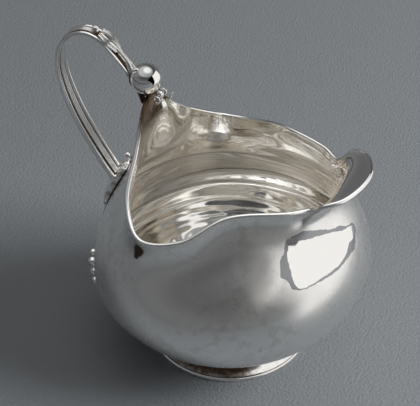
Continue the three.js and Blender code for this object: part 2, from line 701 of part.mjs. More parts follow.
add('bowl', bowl, POLISHED, 0.12);
add('foot_collar', footCollar(), WORN, 0.2);
add('foot_bead', footBead(), POLISHED, 0.15);
add('handle_strap', trimmed(handleStrap(), bowlRoom, ballRoom, leafRoom), WORN, 0.25);
for (const [side, hand] of hands) {
  add(`handle_wire_${side}`, trimmed(handleWire(hand), bowlRoom, ballRoom, leafRoom), POLISHED, 0.15);
}
add('ball_finial', ball(ballRadius), POLISHED, 0.06);
add('stem', trimmed(stem(), ballRoom), WORN, 0.25);
add('bud', bud(), WORN, 0.25);
for (const [side, hand] of hands) add(`bud_wire_${side}`, budWire(hand), POLISHED, 0.2);
add('bud_curl', budCurl(), POLISHED, 0.2);
add('sprig_berry', bead(sprigBeadRadius, sprigCentre, 12, 8), POLISHED, 0.15);
add('sprig_drop', sprigDrop(), POLISHED, 0.2);
add('sprig_tip', sprigTip(), POLISHED, 0.2);
for (const [side, hand] of hands) add(`sprig_curl_${side}`, sprigCurl(hand), WORN, 0.2);
add('leaf_plate', leafPlate(0), WORN, 0.25);
add('leaf_top_bead', leafTopBead(), POLISHED, 0.2);
add('leaf_tail', leafTail(), OXIDISED, 0.3);
for (const [side, hand] of hands) {
  add(`spray_${side}`, spray(hand), WORN, 0.25);
  berryRadii.forEach((_, i) => add(`berry_${side}_${i + 1}`, berry(hand, i), POLISHED, 0.2));
}

// The origin is the bottom centre of the whole object's box.
const box = new THREE.Box3().setFromObject(creamer, true);
frame.position.set(-(box.min.x + box.max.x) / 2, -(box.min.y + box.max.y) / 2, -box.min.z);

export default creamer;
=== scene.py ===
"""Silver creamer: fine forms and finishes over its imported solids, with a table, lights and a camera."""
import logging
import math
from collections.abc import Sequence
from dataclasses import dataclass, field
from enum import Enum

import bpy
import numpy as np
from mathutils import Matrix, Vector


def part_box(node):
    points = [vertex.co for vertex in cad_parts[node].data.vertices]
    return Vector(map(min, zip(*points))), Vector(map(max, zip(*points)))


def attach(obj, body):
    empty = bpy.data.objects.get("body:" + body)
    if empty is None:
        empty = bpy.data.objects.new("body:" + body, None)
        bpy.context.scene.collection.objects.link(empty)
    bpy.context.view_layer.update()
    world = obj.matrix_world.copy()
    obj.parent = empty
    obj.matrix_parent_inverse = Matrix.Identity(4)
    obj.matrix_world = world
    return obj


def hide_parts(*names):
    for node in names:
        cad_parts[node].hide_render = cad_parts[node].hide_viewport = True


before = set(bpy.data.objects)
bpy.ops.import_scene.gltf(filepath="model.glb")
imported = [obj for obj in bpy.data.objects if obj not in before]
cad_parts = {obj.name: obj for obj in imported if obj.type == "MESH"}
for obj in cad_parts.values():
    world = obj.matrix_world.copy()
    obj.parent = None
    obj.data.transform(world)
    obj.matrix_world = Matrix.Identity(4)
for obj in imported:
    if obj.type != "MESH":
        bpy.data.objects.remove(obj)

LOG = logging.getLogger("creamer")
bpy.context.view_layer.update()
MM = 0.001
BODY = "root"
Colour = tuple[float, float, float]
Array = np.ndarray


class Hand(Enum):
    """The two sides of the creamer, as the sign of Y."""

    LEFT = 1
    RIGHT = -1

    @property
    def word(self) -> str:
        """The side's name as the nodes spell it."""
        return self.name.lower()


class Lit(Enum):
    """What a light is for: the table's tone and shadows, or the silver's reflections."""

    TABLE = "table"
    SILVER = "silver"


class Slot(Enum):
    """The record's material slots."""

    POLISHED = "polished_silver"
    WORN = "worn_silver"
    OXIDISED = "oxidised_silver"
    MIRROR = "mirror_silver"


def smooth(share: Array | float) -> Array:
    """An eased share, flat at 0 and 1."""
    t = np.clip(share, 0.0, 1.0)
    return t * t * (3.0 - 2.0 * t)


def lerp(low: Array | float, high: Array | float, share: Array | float) -> Array:
    """The value a share of the way from low to high."""
    return low + (high - low) * share


def bell(distance: Array, width: float) -> Array:
    """A soft spot: 1 at no distance, falling away over the width."""
    return np.exp(-0.5 * (distance / width) ** 2)


def unit(vectors: Array) -> Array:
    """Vectors brought to a length of one."""
    return vectors / np.linalg.norm(vectors, axis=-1, keepdims=True)


class Spline:
    """A smooth line through points that can be read by share of its length."""

    def __init__(self, points: Sequence, closed: bool = False, tension: float | None = None,
                 divisions: int = 200) -> None:
        """Lays the line and measures it.

        Args:
            points: The places that the line runs through.
            closed: Whether the line comes back to its start.
            tension: Even tension, or None for one that follows the spacing of the points.
            divisions: How many chords measure the length.
        """
        self.points = np.asarray(points, float)
        self.closed = closed
        self.tension = tension
        self.times = np.linspace(0.0, 1.0, divisions + 1)
        chords = np.linalg.norm(np.diff(self.at(self.times), axis=0), axis=1)
        self.runs = np.concatenate([[0.0], np.cumsum(chords)])
        self.length = float(self.runs[-1])

    def at(self, time: Array | float) -> Array:
        """The places at raw parameters from 0 to 1.

        Args:
            time: One or many parameters.

        Returns:
            One row for each parameter.
        """
        t = np.atleast_1d(np.asarray(time, float))
        count = len(self.points)
        if self.closed:
            place = count * t
            first = np.floor(place).astype(int)
            p0, p1, p2, p3 = (self.points[(first + k) % count] for k in (-1, 0, 1, 2))
        else:
            place = (count - 1) * t
            first = np.clip(np.floor(place).astype(int), 0, count - 2)
            ends = np.vstack([2 * self.points[0] - self.points[1], self.points,
                              2 * self.points[-1] - self.points[-2]])
            p0, p1, p2, p3 = (ends[first + k] for k in range(4))
        w = (place - first)[:, None]
        if self.tension is None:
            d0, d1, d2 = (self._step(a, b) for a, b in ((p0, p1), (p1, p2), (p2, p3)))
            m1 = ((p1 - p0) / d0 - (p2 - p0) / (d0 + d1) + (p2 - p1) / d1) * d1
            m2 = ((p2 - p1) / d1 - (p3 - p1) / (d1 + d2) + (p3 - p2) / d2) * d1
        else:
            m1, m2 = self.tension * (p2 - p0), self.tension * (p3 - p1)
        return (p1 + m1 * w + (3 * (p2 - p1) - 2 * m1 - m2) * w ** 2
                + (2 * (p1 - p2) + m1 + m2) * w ** 3)

    @staticmethod
    def _step(a: Array, b: Array) -> Array:
        """The square root of each distance, as a column."""
        return np.maximum(((a - b) ** 2).sum(axis=1, keepdims=True) ** 0.25, 1e-4)

    def time(self, share: Array | float) -> Array:
        """The raw parameters at shares of the length."""
        return np.interp(np.asarray(share) * self.length, self.runs, self.times)

    def at_share(self, share: Array | float) -> Array:
        """The places at shares of the length."""
        return self.at(self.time(share))

    def tangent(self, share: Array | float) -> Array:
        """The unit directions at shares of the length."""
        t = np.atleast_1d(self.time(share))
        return unit(self.at(np.minimum(t + 1e-4, 1.0)) - self.at(np.maximum(t - 1e-4, 0.0)))


def around(flat: Array, angle: Array) -> Array:
    """Points from radius and height, turned to angles round the axis."""
    radius, height = flat[..., 0], flat[..., 1]
    return np.stack(np.broadcast_arrays(radius * np.cos(angle), radius * np.sin(angle), height), axis=-1)


def heading(azimuth: float, elevation: float) -> Vector:
    """The direction at an azimuth from the spout and an elevation, in degrees."""
    a, e = math.radians(azimuth), math.radians(elevation)
    return Vector((math.cos(a) * math.cos(e), math.sin(a) * math.cos(e), math.sin(e)))


def bezier(controls: list[Array], t: Array) -> Array:
    """Points of a curve by repeated halving between its control points.

    Args:
        controls: Control points, each an array that broadcasts with the parameters.
        t: Parameters from 0 to 1, with a trailing axis of one.

    Returns:
        The points.
    """
    row = controls
    while len(row) > 1:
        row = [a + (b - a) * t for a, b in zip(row, row[1:])]
    return row[0]


class Sock:
    """A node's socket that arithmetic can be written on."""

    def __init__(self, graph: "Graph", socket: bpy.types.NodeSocket) -> None:
        """Keeps the socket and the graph that it is in."""
        self.graph = graph
        self.socket = socket

    def _math(self, operation: str, first: "Sock | float", second: "Sock | float") -> "Sock":
        """Adds one Math node."""
        return self.graph.node("ShaderNodeMath", {"operation": operation}, {0: first, 1: second})

    def __add__(self, other: "Sock | float") -> "Sock":
        """Sum."""
        return self._math("ADD", self, other)

    __radd__ = __add__

    def __sub__(self, other: "Sock | float") -> "Sock":
        """Difference."""
        return self._math("SUBTRACT", self, other)

    def __rsub__(self, other: float) -> "Sock":
        """Difference from a number."""
        return self._math("SUBTRACT", other, self)

    def __mul__(self, other: "Sock | float") -> "Sock":
        """Product."""
        return self._math("MULTIPLY", self, other)

    __rmul__ = __mul__

    def eased(self, low: float, high: float) -> "Sock":
        """An eased step from 0 at low to 1 at high."""
        return self.graph.node("ShaderNodeMapRange", {"interpolation_type": "SMOOTHSTEP"},
                               {"Value": self, "From Min": low, "From Max": high})


class Graph:
    """A node tree, for a finish or for a form, that one method adds every node to."""

    def __init__(self, tree: bpy.types.NodeTree) -> None:
        """Starts from an empty tree."""
        self.tree = tree
        self.tree.nodes.clear()

    def node(self, kind: str, settings: dict | None = None, sockets: dict | None = None,
             output: int | str = 0) -> Sock:
        """Adds a node.

        Args:
            kind: The node's type.
            settings: Its properties, which are set first.
            sockets: Values or links for its inputs, by name or number.
            output: Which of its outputs to give back.

        Returns:
            The output.
        """
        node = self.tree.nodes.new(kind)
        for name, value in (settings or {}).items():
            setattr(node, name, value)
        for name, value in (sockets or {}).items():
            if isinstance(value, Sock):
                self.tree.links.new(value.socket, node.inputs[name])
            else:
                node.inputs[name].default_value = value
        return Sock(self, node.outputs[output]) if node.outputs else None

    def mix(self, share: Sock | float, low: Sock | Colour, high: Sock | Colour) -> Sock:
        """A colour between two.

        Args:
            share: 0 gives low and 1 gives high.
            low: A colour.
            high: A colour.

        Returns:
            The mixed colour.
        """
        ends = {i: c if isinstance(c, Sock) else (*c, 1.0) for i, c in ((6, low), (7, high))}
        return self.node("ShaderNodeMix", {"data_type": "RGBA"}, {0: share, **ends}, 2)

    def noise(self, place: Sock, scale: float, detail: float = 3.0) -> Sock:
        """Cloudy noise with so many clouds to the metre."""
        return self.node("ShaderNodeTexNoise", None, {"Vector": place, "Scale": scale, "Detail": detail})


def blank(name: str) -> tuple[bpy.types.Material, Graph]:
    """Makes a new material.

    Args:
        name: Its name.

    Returns:
        The material and its empty node tree.
    """
    material = bpy.data.materials.new(name)
    material.use_nodes = True
    return material, Graph(material.node_tree)


def placed(name: str, data: bpy.types.ID) -> bpy.types.Object:
    """Puts a new object in the scene.

    Args:
        name: Its name.
        data: Its mesh, camera or light.

    Returns:
        The object.
    """
    made = bpy.data.objects.new(name, data)
    bpy.context.scene.collection.objects.link(made)
    return made


class Form:
    """A Geometry Nodes tree with named inputs that turns a bare mesh into a finished one."""

    def __init__(self, name: str, inputs: dict[str, str]) -> None:
        """Makes the tree's sockets.

        Args:
            name: The tree's name.
            inputs: Each input's name and kind, such as Float, Int or Material.
        """
        group = bpy.data.node_groups.new(name, "GeometryNodeTree")
        self.graph = Graph(group)
        group.interface.new_socket("Geometry", in_out="OUTPUT", socket_type="NodeSocketGeometry")
        self.keys = {}
        for label, kind in {"Geometry": "Geometry", **inputs, "Finish": "Material"}.items():
            made = group.interface.new_socket(label, in_out="INPUT", socket_type=f"NodeSocket{kind}")
            self.keys[label] = made.identifier

    def given(self, label: str) -> Sock:
        """One of the tree's inputs."""
        return self.graph.node("NodeGroupInput", output=label)

    def attribute(self, name: str) -> Sock:
        """A number kept on the mesh's points."""
        return self.graph.node("GeometryNodeInputNamedAttribute", {"data_type": "FLOAT"}, {"Name": name})

    def sunk(self, geometry: Sock, pits: str, depth: Sock, roughness: float) -> Sock:
        """A surface pressed in by cloudy noise.

        Args:
            geometry: The surface.
            pits: The input that says how many clouds there are to the metre.
            depth: How far in the deepest noise goes.
            roughness: How strong the noise's finer clouds are.

        Returns:
            The surface with its points moved.
        """
        noise = self.graph.node("ShaderNodeTexNoise", {"noise_dimensions": "4D"}, {
            "Vector": self.graph.node("GeometryNodeInputPosition"), "W": self.given("Seed"),
            "Scale": self.given(pits), "Detail": 1.0, "Roughness": roughness})
        inward = self.graph.node("ShaderNodeVectorMath", {"operation": "SCALE"}, {
            0: self.graph.node("GeometryNodeInputNormal"), "Scale": noise * depth * -1.0})
        return self.graph.node("GeometryNodeSetPosition", None, {"Geometry": geometry, "Offset": inward})

    def close(self, geometry: Sock) -> None:
        """Ends the tree: shaded smooth, made real, and given its finish.

        Args:
            geometry: What the tree has made.
        """
        rounded = self.graph.node("GeometryNodeSetShadeSmooth", None, {"Geometry": geometry})
        real = self.graph.node("GeometryNodeRealizeInstances", None, {"Geometry": rounded})
        dressed = self.graph.node("GeometryNodeSetMaterial", None,
                                  {"Geometry": real, "Material": self.given("Finish")})
        self.graph.node("NodeGroupOutput", None, {"Geometry": dressed})

    def apply(self, piece: bpy.types.Object, **values: object) -> None:
        """Runs the tree on a piece and keeps the result as its plain mesh.

        Args:
            piece: The object that holds the bare mesh.
            values: The tree's inputs, by name with underscores for spaces.
        """
        modifier = piece.modifiers.new(self.graph.tree.name, "NODES")
        modifier.node_group = self.graph.tree
        for label, value in values.items():
            modifier[self.keys[label.replace("_", " ")]] = value
        bpy.context.view_layer.update()
        evaluated = piece.evaluated_get(bpy.context.evaluated_depsgraph_get())
        mesh = bpy.data.meshes.new_from_object(evaluated)
        piece.modifiers.remove(modifier)
        bare = piece.data
        piece.data = mesh
        mesh.name = piece.name
        bpy.data.meshes.remove(bare)


def wire_form() -> Form:
    """A round wire along a line, as thick at each point as the line's radius says.

    Returns:
        The form.
    """
    form = Form("wire", {"Sides": "Int"})
    line = form.graph.node("GeometryNodeMeshToCurve", None, {"Mesh": form.given("Geometry")})
    circle = form.graph.node("GeometryNodeCurvePrimitiveCircle", None,
                             {"Resolution": form.given("Sides"), "Radius": 1.0})
    form.close(form.graph.node("GeometryNodeCurveToMesh", None, {
        "Curve": line, "Profile Curve": circle, "Scale": form.attribute("radius"), "Fill Caps": True}))
    return form


def berry_form() -> Form:
    """A lumpy bead on each point, as large as the point's radius says.

    Returns:
        The form.
    """
    form = Form("berries", {"Lumps": "Float", "Lump Size": "Float", "Seed": "Float"})
    ball = form.graph.node("GeometryNodeMeshIcoSphere", None, {"Radius": 1.0, "Subdivisions": 4})
    beads = form.graph.node("GeometryNodeInstanceOnPoints", None, {
        "Points": form.given("Geometry"), "Instance": ball, "Scale": form.attribute("radius")})
    real = form.graph.node("GeometryNodeRealizeInstances", None, {"Geometry": beads})
    form.close(form.sunk(real, "Lumps", form.given("Lump Size"), 0.5))
    return form


def planish_form() -> Form:
    """Shallow hammer dents over a sheet, as deep at each point as the sheet's planish value says.

    Returns:
        The form.
    """
    form = Form("planish", {"Dents": "Float", "Depth": "Float", "Seed": "Float"})
    depth = form.given("Depth") * form.attribute("planish")
    form.close(form.sunk(form.given("Geometry"), "Dents", depth, 0.4))
    return form


@dataclass(frozen=True)
class SilverFinish:
    """Silver with dulled patches, planishing marks, brown that is oxide in some places and painted shade in
    others, and a polished patch with a painted grey reflection edge.

    Scales count clouds to the metre, heights are in metres, and marks are in millimetres.
    """

    name: str
    roughness: float = 0.10
    inner_roughness: float = 0.10
    clouding: float = 0.06
    mark_size: float = 3.6
    mark_depth: float = 0.012
    bright: Colour = (0.985, 0.975, 0.955)
    dull: Colour = (0.955, 0.94, 0.915)
    warm: Colour = (0.97, 0.92, 0.84)
    stale: Colour = (0.46, 0.435, 0.40)
    brown: Colour = (0.11, 0.065, 0.037)
    blotch: Colour = (0.80, 0.785, 0.76)
    # Grey of the painted reflection edge: a ragged border painted round the polished patch.
    worn: Colour = (0.36, 0.37, 0.39)
    cloud_scale: float = 85.0
    grain_scale: float = 900.0
    streak_scale: Colour = (28.0, 28.0, 330.0)
    blot_scale: float = 300.0
    blot_spread: float = 55.0
    tear_scale: float = 520.0
    tear_width: float = 0.16
    tear_edge: tuple[float, float] = (0.485, 0.515)
    warm_heights: tuple[float, float] = (0.014, 0.030)
    stale_heights: tuple[float, float] = (0.0068, 0.0095)
    oxide_grain: float = 0.5
    oxide_range: tuple[float, float] = (0.22, 0.9)
    oxide_roughness: float = 0.22
    warm_roughness: float = 0.04
    stale_roughness: float = 0.2
    patch_gloss: float = 0.8

    def material(self) -> bpy.types.Material:
        """Builds the finish.

        Returns:
            The material.
        """
        material, graph = blank(self.name)
        place = graph.node("ShaderNodeTexCoord", output="Object")
        inside, tarnish, polish, worn = (
            graph.node("ShaderNodeAttribute", {"attribute_name": name}, output="Fac")
            for name in ("inside", "tarnish", "polish", "worn"))
        height = graph.node("ShaderNodeSeparateXYZ", None, {"Vector": place}, "Z")
        cloud = graph.noise(place, self.cloud_scale, 4.0).eased(0.42, 0.72)
        grain = graph.noise(place, self.grain_scale, 3.0)
        rings = graph.node("ShaderNodeMapping", None, {"Vector": place, "Scale": self.streak_scale})
        streak = graph.noise(rings, 1.0, 4.0).eased(0.50, 0.74)
        # The brown mask: oxide in some places and painted shade in others, as each piece sets it.
        oxide_and_shade = (tarnish + (grain - 0.5) * self.oxide_grain).eased(*self.oxide_range)
        blots = (graph.noise(place, self.blot_scale, 2.0).eased(0.48, 0.68)
                 * graph.noise(place, self.blot_spread, 1.0).eased(0.42, 0.60))
        ragged = (graph.noise(place, self.tear_scale, 4.0) - 0.5) * self.tear_width
        patch = (polish + ragged).eased(*self.tear_edge)
        # Painted reflection edge: a ragged grey border painted round the polished patch, standing in for the
        # dark rim of a reflection.
        painted_edge_mask = (worn + ragged).eased(*self.tear_edge) * (1.0 - patch)
        floor = (1.0 - height.eased(*self.warm_heights)) * inside
        well = (1.0 - height.eased(*self.stale_heights)) * inside
        colour = graph.mix(cloud * 0.8, self.bright, self.dull)
        colour = graph.mix(blots * (1.0 - inside) * 0.7, colour, self.blotch)
        colour = graph.mix(painted_edge_mask, graph.mix(patch, colour, self.bright), self.worn)
        colour = graph.mix(streak * inside * 0.3 + floor * 0.3, colour, self.warm)
        colour = graph.mix(well * (cloud * 0.45 + 0.5), colour, self.stale)
        colour = graph.mix(oxide_and_shade, colour, self.brown)
        marks = graph.noise(place, 1.0 / (self.mark_size * MM), 1.0)
        relief = (marks + grain * 0.06) * (1.0 - inside * 0.95 + floor * 2.0)
        normal = graph.node("ShaderNodeBump", None, {
            "Strength": 1.0, "Distance": self.mark_depth * MM, "Height": relief})
        satin = (cloud * self.clouding + oxide_and_shade * self.oxide_roughness + self.roughness
                 + inside * (self.inner_roughness - self.roughness)
                 + floor * self.warm_roughness + well * self.stale_roughness)
        shader = graph.node("ShaderNodeBsdfPrincipled", None, {
            "Base Color": colour, "Metallic": 1.0, "Normal": normal,
            "Roughness": satin * (1.0 - patch * self.patch_gloss)})
        graph.node("ShaderNodeOutputMaterial", None, {"Surface": shader})
        return material


@dataclass(frozen=True)
class TableFinish:
    """A plain pale grey table top with a fine grain."""

    name: str = "pale_table"
    pale: Colour = (0.40, 0.43, 0.455)
    dark: Colour = (0.33, 0.355, 0.38)

    def material(self) -> bpy.types.Material:
        """Builds the finish.

        Returns:
            The material.
        """
        material, graph = blank(self.name)
        place = graph.node("ShaderNodeTexCoord", output="Object")
        grain = graph.noise(place, 1100.0, 2.0)
        normal = graph.node("ShaderNodeBump", None, {"Strength": 0.5, "Distance": 0.0006, "Height": grain})
        shader = graph.node("ShaderNodeBsdfPrincipled", None, {
            "Base Color": graph.mix(grain, self.dark, self.pale), "Roughness": 0.55, "Normal": normal})
        graph.node("ShaderNodeOutputMaterial", None, {"Surface": shader})
        return material


@dataclass
class Bench:
    """Where the pieces are made: the bowl's axis, the forms, and the finishes."""

    axis: Array = field(default_factory=lambda: np.array([sum(v) / 2 for v in zip(*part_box("foot_bead"))]))
    forms: dict[str, Form] = field(default_factory=dict)
    finishes: dict[str, bpy.types.Material] = field(default_factory=dict)

    def __post_init__(self) -> None:
        """Makes the forms and the finishes that the pieces share."""
        self.axis = self.axis * (1.0, 1.0, 0.0)
        self.forms = {"wire": wire_form(), "berries": berry_form(), "planish": planish_form()}
        made = (
            SilverFinish("raised_silver", roughness=0.27, inner_roughness=0.05),
            SilverFinish("foot_silver", roughness=0.12, mark_size=2.4, mark_depth=0.004),
            SilverFinish("wire_silver", roughness=0.13, clouding=0.06, mark_size=1.2, mark_depth=0.004),
            SilverFinish("relief_silver", roughness=0.16, mark_size=0.9, mark_depth=0.008),
            SilverFinish("ball_silver", roughness=0.04, clouding=0.03, mark_size=3.0, mark_depth=0.002),
        )
        self.finishes = {finish.name: finish.material() for finish in made}

    def mesh(self, name: str, points: Array, edges: list, faces: list,
             values: dict[str, Array]) -> bpy.types.Object:
        """An object from points in millimetres about the bowl's axis.

        Args:
            name: The piece's name.
            points: The points.
            edges: Pairs of points, for a bare line.
            faces: Rings of points.
            values: Numbers to keep on the points, by name.

        Returns:
            The object, in metres in the part's frame.
        """
        mesh = bpy.data.meshes.new(name)
        mesh.from_pydata((points * MM + self.axis).tolist(), edges, faces)
        for key, numbers in values.items():
            kept = mesh.attributes.new(key, "FLOAT", "POINT")
            kept.data.foreach_set("value", np.asarray(numbers, np.float32))
        mesh.shade_smooth()
        return placed(name, mesh)

    def skin(self, name: str, rings: Array, **values: Array) -> bpy.types.Object:
        """A closed skin over rings of points, with both ends closed.

        Args:
            name: The piece's name.
            rings: Points by ring and place round the ring.
            values: Numbers for the points, in the same layout.

        Returns:
            The object.
        """
        count, sides = rings.shape[:2]
        points = np.vstack([rings.reshape(-1, 3), rings[0].mean(axis=0), rings[-1].mean(axis=0)])
        first, last = count * sides, count * sides + 1
        i = np.arange(sides)
        j = (i + 1) % sides
        steps = (np.arange(count - 1) * sides)[:, None]
        quads = np.stack([steps + i, steps + j, steps + sides + j, steps + sides + i], axis=-1).reshape(-1, 4)
        top = (count - 1) * sides
        fans = np.concatenate([np.stack([j, i, np.full(sides, first)], axis=-1),
                               np.stack([top + i, top + j, np.full(sides, last)], axis=-1)])
        a, b, c, d = (points[quads[:, k]] for k in range(4))
        volume = (np.einsum("ij,ij->i", a, np.cross(b, c)) + np.einsum("ij,ij->i", a, np.cross(c, d))).sum()
        faces = [*quads.tolist(), *fans.tolist()]
        if volume < 0:
            faces = [face[::-1] for face in faces]
        kept = {key: np.append(grid.reshape(-1), [grid[0].mean(), grid[-1].mean()])
                for key, grid in values.items()}
        return self.mesh(name, points, [], faces, kept)

    def wire(self, name: str, line: Array, radius: Array | float, slot: Slot, node: str,
             finish: str = "wire_silver", sides: int = 12, tarnish: Array | float = 0.0) -> None:
        """A round wire with rounded ends, in the place of its solid.

        Args:
            name: The piece's name.
            line: The wire's centre line.
            radius: Its radius, along the line or all over.
            slot: The record's material slot.
            node: The solid that it stands for.
            finish: The finish's name.
            sides: Facets round the wire.
            tarnish: How brown it is, along the line or all over.
        """
        runs = np.concatenate([[0.0], np.cumsum(np.linalg.norm(np.diff(line, axis=0), axis=1))])
        full = np.broadcast_to(np.asarray(radius, float), runs.shape)
        near = np.clip(np.minimum(runs, runs[-1] - runs) / full, 0.0, 1.0)
        round_ends = np.maximum(np.sqrt(1.0 - (1.0 - near) ** 2), 0.08)
        piece = self.mesh(name, line, [(k, k + 1) for k in range(len(line) - 1)], [], {
            "radius": full * round_ends * MM, "tarnish": np.broadcast_to(tarnish, runs.shape)})
        self.forms["wire"].apply(piece, Sides=sides, Finish=self.finishes[finish])
        self.finish(piece, finish, slot, node)

    def beads(self, name: str, spots: Array, radii: Array, lumps: float, lump_size: float,
              seed: float, *nodes: str) -> None:
        """Lumpy beads, in the place of their solids.

        Args:
            name: The piece's name.
            spots: The beads' middles.
            radii: Their radii.
            lumps: How many lumps there are to the metre.
            lump_size: How deep the hollows between the lumps are.
            seed: What the lumps' places are drawn from.
            nodes: The solids that they stand for.
        """
        piece = self.mesh(name, spots, [], [], {"radius": radii * MM})
        self.forms["berries"].apply(piece, Lumps=lumps, Lump_Size=lump_size * MM, Seed=seed,
                                    Finish=self.finishes["wire_silver"])
        self.finish(piece, "wire_silver", Slot.POLISHED, *nodes)

    def finish(self, piece: bpy.types.Object, finish: str, slot: Slot, *nodes: str) -> None:
        """Dresses a piece and puts it in the place of its solids.

        Args:
            piece: The piece.
            finish: The finish's name.
            slot: Not used.
            nodes: The solids that it stands for.
        """
        if not piece.data.materials:
            piece.data.materials.append(self.finishes[finish])
        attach(piece, BODY)
        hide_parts(*nodes)
        LOG.info("%s: %d faces for %s", piece.name, len(piece.data.polygons), ", ".join(nodes))


@dataclass
class Bowl:
    """The raised bowl: a round belly that turns into a rim with a pouring lip and a peak."""

    belly_radius: float = 44.7
    belly_forward: float = 0.7
    belly_height: float = 31.9
    belly_tilt: float = 3.2
    base_radius: float = 23.5
    base_sag: float = 1.0
    foot_height: float = 5.6
    wall: float = 1.1
    rim_wall: float = 1.5
    spout_reach: float = 45.6
    spout_height: float = 75.9
    lip_half_width: float = 15.7
    lip_corner_reach: float = 34.6
    throat_reach: float = 31.2
    throat_half_width: float = 14.1
    throat_height: float = 70.2
    side_half_width: float = 35.2
    side_height: float = 60.0
    peak_reach: float = 27.6
    peak_height: float = 88.6
    peak_half_width: float = 5.1
    lip_flare: float = 42.0
    lip_arm: float = 10.0
    lip_inset: float = 8.0
    lip_drop: float = 3.5
    rim_drop: float = 1.6
    throat_flare: float = 34.0
    throat_arm: float = 9.0
    side_flare: float = 14.0
    side_arm: float = 11.5
    peak_arm: float = 27.0
    spout_angle: float = math.radians(75.0)
    neck_end: float = math.radians(120.0)
    neck_top: float = 0.75
    fan_width: float = math.radians(14.0)
    columns: int = 288
    even_columns: float = 3.5
    patch_pitch: float = 0.73
    stains: tuple[tuple[float, ...], ...] = (
        (-16.4, -34.2, 56.4, 1.3), (-17.4, -33.6, 54.6, 1.1), (-17.9, -33.5, 52.6, 0.7))
    polish: tuple[tuple[float, float], ...] = (
        (-37.5, 61.7), (-32.9, 62.0), (-30.9, 60.9), (-25.8, 61.0), (-20.6, 60.8), (-15.0, 60.0),
        (-8.7, 58.2), (-0.5, 56.3), (2.8, 55.4), (2.0, 53.7), (-0.8, 52.7), (-5.9, 53.0), (-9.3, 51.5),
        (-16.0, 50.0), (-22.2, 49.7), (-28.0, 49.2), (-36.5, 48.4), (-38.9, 49.1), (-39.8, 51.4),
        (-39.5, 57.0), (-37.5, 59.6))
    # Corners of the painted grey reflection edge round the polished patch.
    worn: tuple[tuple[float, float], ...] = (
        (-39.6, 59.4), (-37.5, 61.7), (-33.4, 62.5), (-28.3, 63.5), (-23.8, 63.1), (-19.8, 62.4),
        (-15.5, 61.1), (-7.3, 59.5), (-2.7, 57.4), (2.7, 56.3), (3.6, 54.0), (0.6, 52.2), (-4.1, 49.8),
        (-8.1, 49.9), (-16.4, 49.0), (-28.2, 48.7), (-36.6, 48.1), (-41.2, 49.1), (-42.1, 51.2),
        (-44.9, 52.6), (-44.0, 54.9), (-42.3, 57.2), (-39.7, 58.4))
    patch_soft: float = 6.0
    base_rows: int = 6
    lower_rows: int = 56
    upper_rows: int = 76
    band_rows: int = 14
    band_from: float = 0.94
    band_turn: float = 0.35
    band_flat: float = 0.45
    rim_rows: int = 9
    ledges: tuple[tuple[float, float], ...] = (
        (53.0, 0.10), (44.5, 0.40), (36.5, 0.08), (28.6, 0.40),
        (22.6, 0.30), (19.6, 0.22), (17.4, 0.18), (15.2, 0.18))
    ledge_slope: float = 4.0
    ledge_drop: float = 1.5
    ledge_from: float = 9.0
    dents: float = 140.0
    dent_depth: float = 0.09
    floor_planish: float = 5.0
    floor_planish_to: float = 17.0
    tongue_brown: float = 1.7
    tongue_width: float = 7.6
    foot_brown: float = 0.7
    # Strength of the painted shade low on the belly above the foot.
    under_brown: float = 0.38
    # Strength of the painted shadow lines beside the leaf plate.
    leaf_brown: float = 0.7
    leaf_middle: float = 51.0
    stain_brown: float = 1.5

    def __post_init__(self) -> None:
        """Lays the rim and the tables that the ribs are read from."""
        half = self._rim_half()
        full = half + [(x, -y, z, flare, arm, back, -side, drop)
                       for x, y, z, flare, arm, back, side, drop in half[-2:0:-1]]
        self.rim = Spline([row[:3] for row in full], closed=True, divisions=800)
        self.flares = Spline([row[3:] for row in full], closed=True, tension=0.5)
        self.table_angles = np.linspace(0.0, math.pi, 361)
        shares = np.linspace(0.0, 0.5, 6001)
        places = self.rim.at_share(shares)
        passed = np.maximum.accumulate(np.arctan2(places[:, 1], places[:, 0]))
        self.table_shares = np.interp(self.table_angles, passed, shares)
        step = self.table_angles[1]
        self.spout_share = np.interp(self.spout_angle, self.table_angles, self.table_shares)
        beyond = np.interp(self.spout_angle + step, self.table_angles, self.table_shares)
        self.spout_slope = (beyond - self.spout_share) / step
        self.even_ribs = self._even_ribs()

    def _rim_half(self) -> list[tuple[float, ...]]:
        """The rim from the tip to the peak.

        Returns:
            By station the reach, half width and height, the neck's flare and arm, and the way to the neck.
        """
        lip, arm, throat = self.lip_flare, self.lip_arm, self.throat_reach
        side, peak = self.side_height, self.peak_reach
        inset, dip, drop = -self.lip_inset, -self.lip_drop, -self.rim_drop
        return [
            (self.spout_reach, 0.0, self.spout_height, lip, arm, inset, 0.0, dip),
            (self.spout_reach - 4.4, 0.79 * self.lip_half_width, self.spout_height - 1.2, lip, arm,
             0.54 * inset, 0.25 * inset, 0.72 * dip),
            (self.lip_corner_reach, self.lip_half_width, self.spout_height - 2.7, lip + 8, arm,
             -0.3, -0.5, drop),
            (throat, self.throat_half_width, self.throat_height, self.throat_flare, self.throat_arm,
             -0.3, -0.4, drop),
            (throat - 5.8, self.throat_half_width + 4.2, self.throat_height - 0.1, 0.6 * self.throat_flare,
             self.throat_arm, -0.3, -0.5, drop),
            (throat - 22.1, self.throat_half_width + 11.4, self.throat_height - 1.2, 0.3 * self.throat_flare,
             self.side_arm, -0.1, -0.35, drop),
            (throat - 34.3, self.side_half_width - 1.2, side + 2.4, 0.8 * self.side_flare, self.side_arm,
             0.0, -0.4, drop),
            (throat - 47.5, self.side_half_width, side + 0.5, self.side_flare, self.side_arm,
             0.1, -0.4, drop),
            (3.2 - peak, self.side_half_width - 8.8, side + 6.8, 0.6 * self.side_flare, 1.2 * self.side_arm,
             0.15, -0.15, drop),
            (1.4 - peak, self.peak_half_width + 9.4, self.peak_height - 11.4, 3.0, 0.75 * self.peak_arm,
             0.1, 0.0, drop),
            (0.2 - peak, self.peak_half_width, self.peak_height - 2.2, 0.0, self.peak_arm, 0.0, 0.0, drop),
            (-peak, 0.0, self.peak_height, 0.0, self.peak_arm, 0.0, 0.0, drop),
        ]

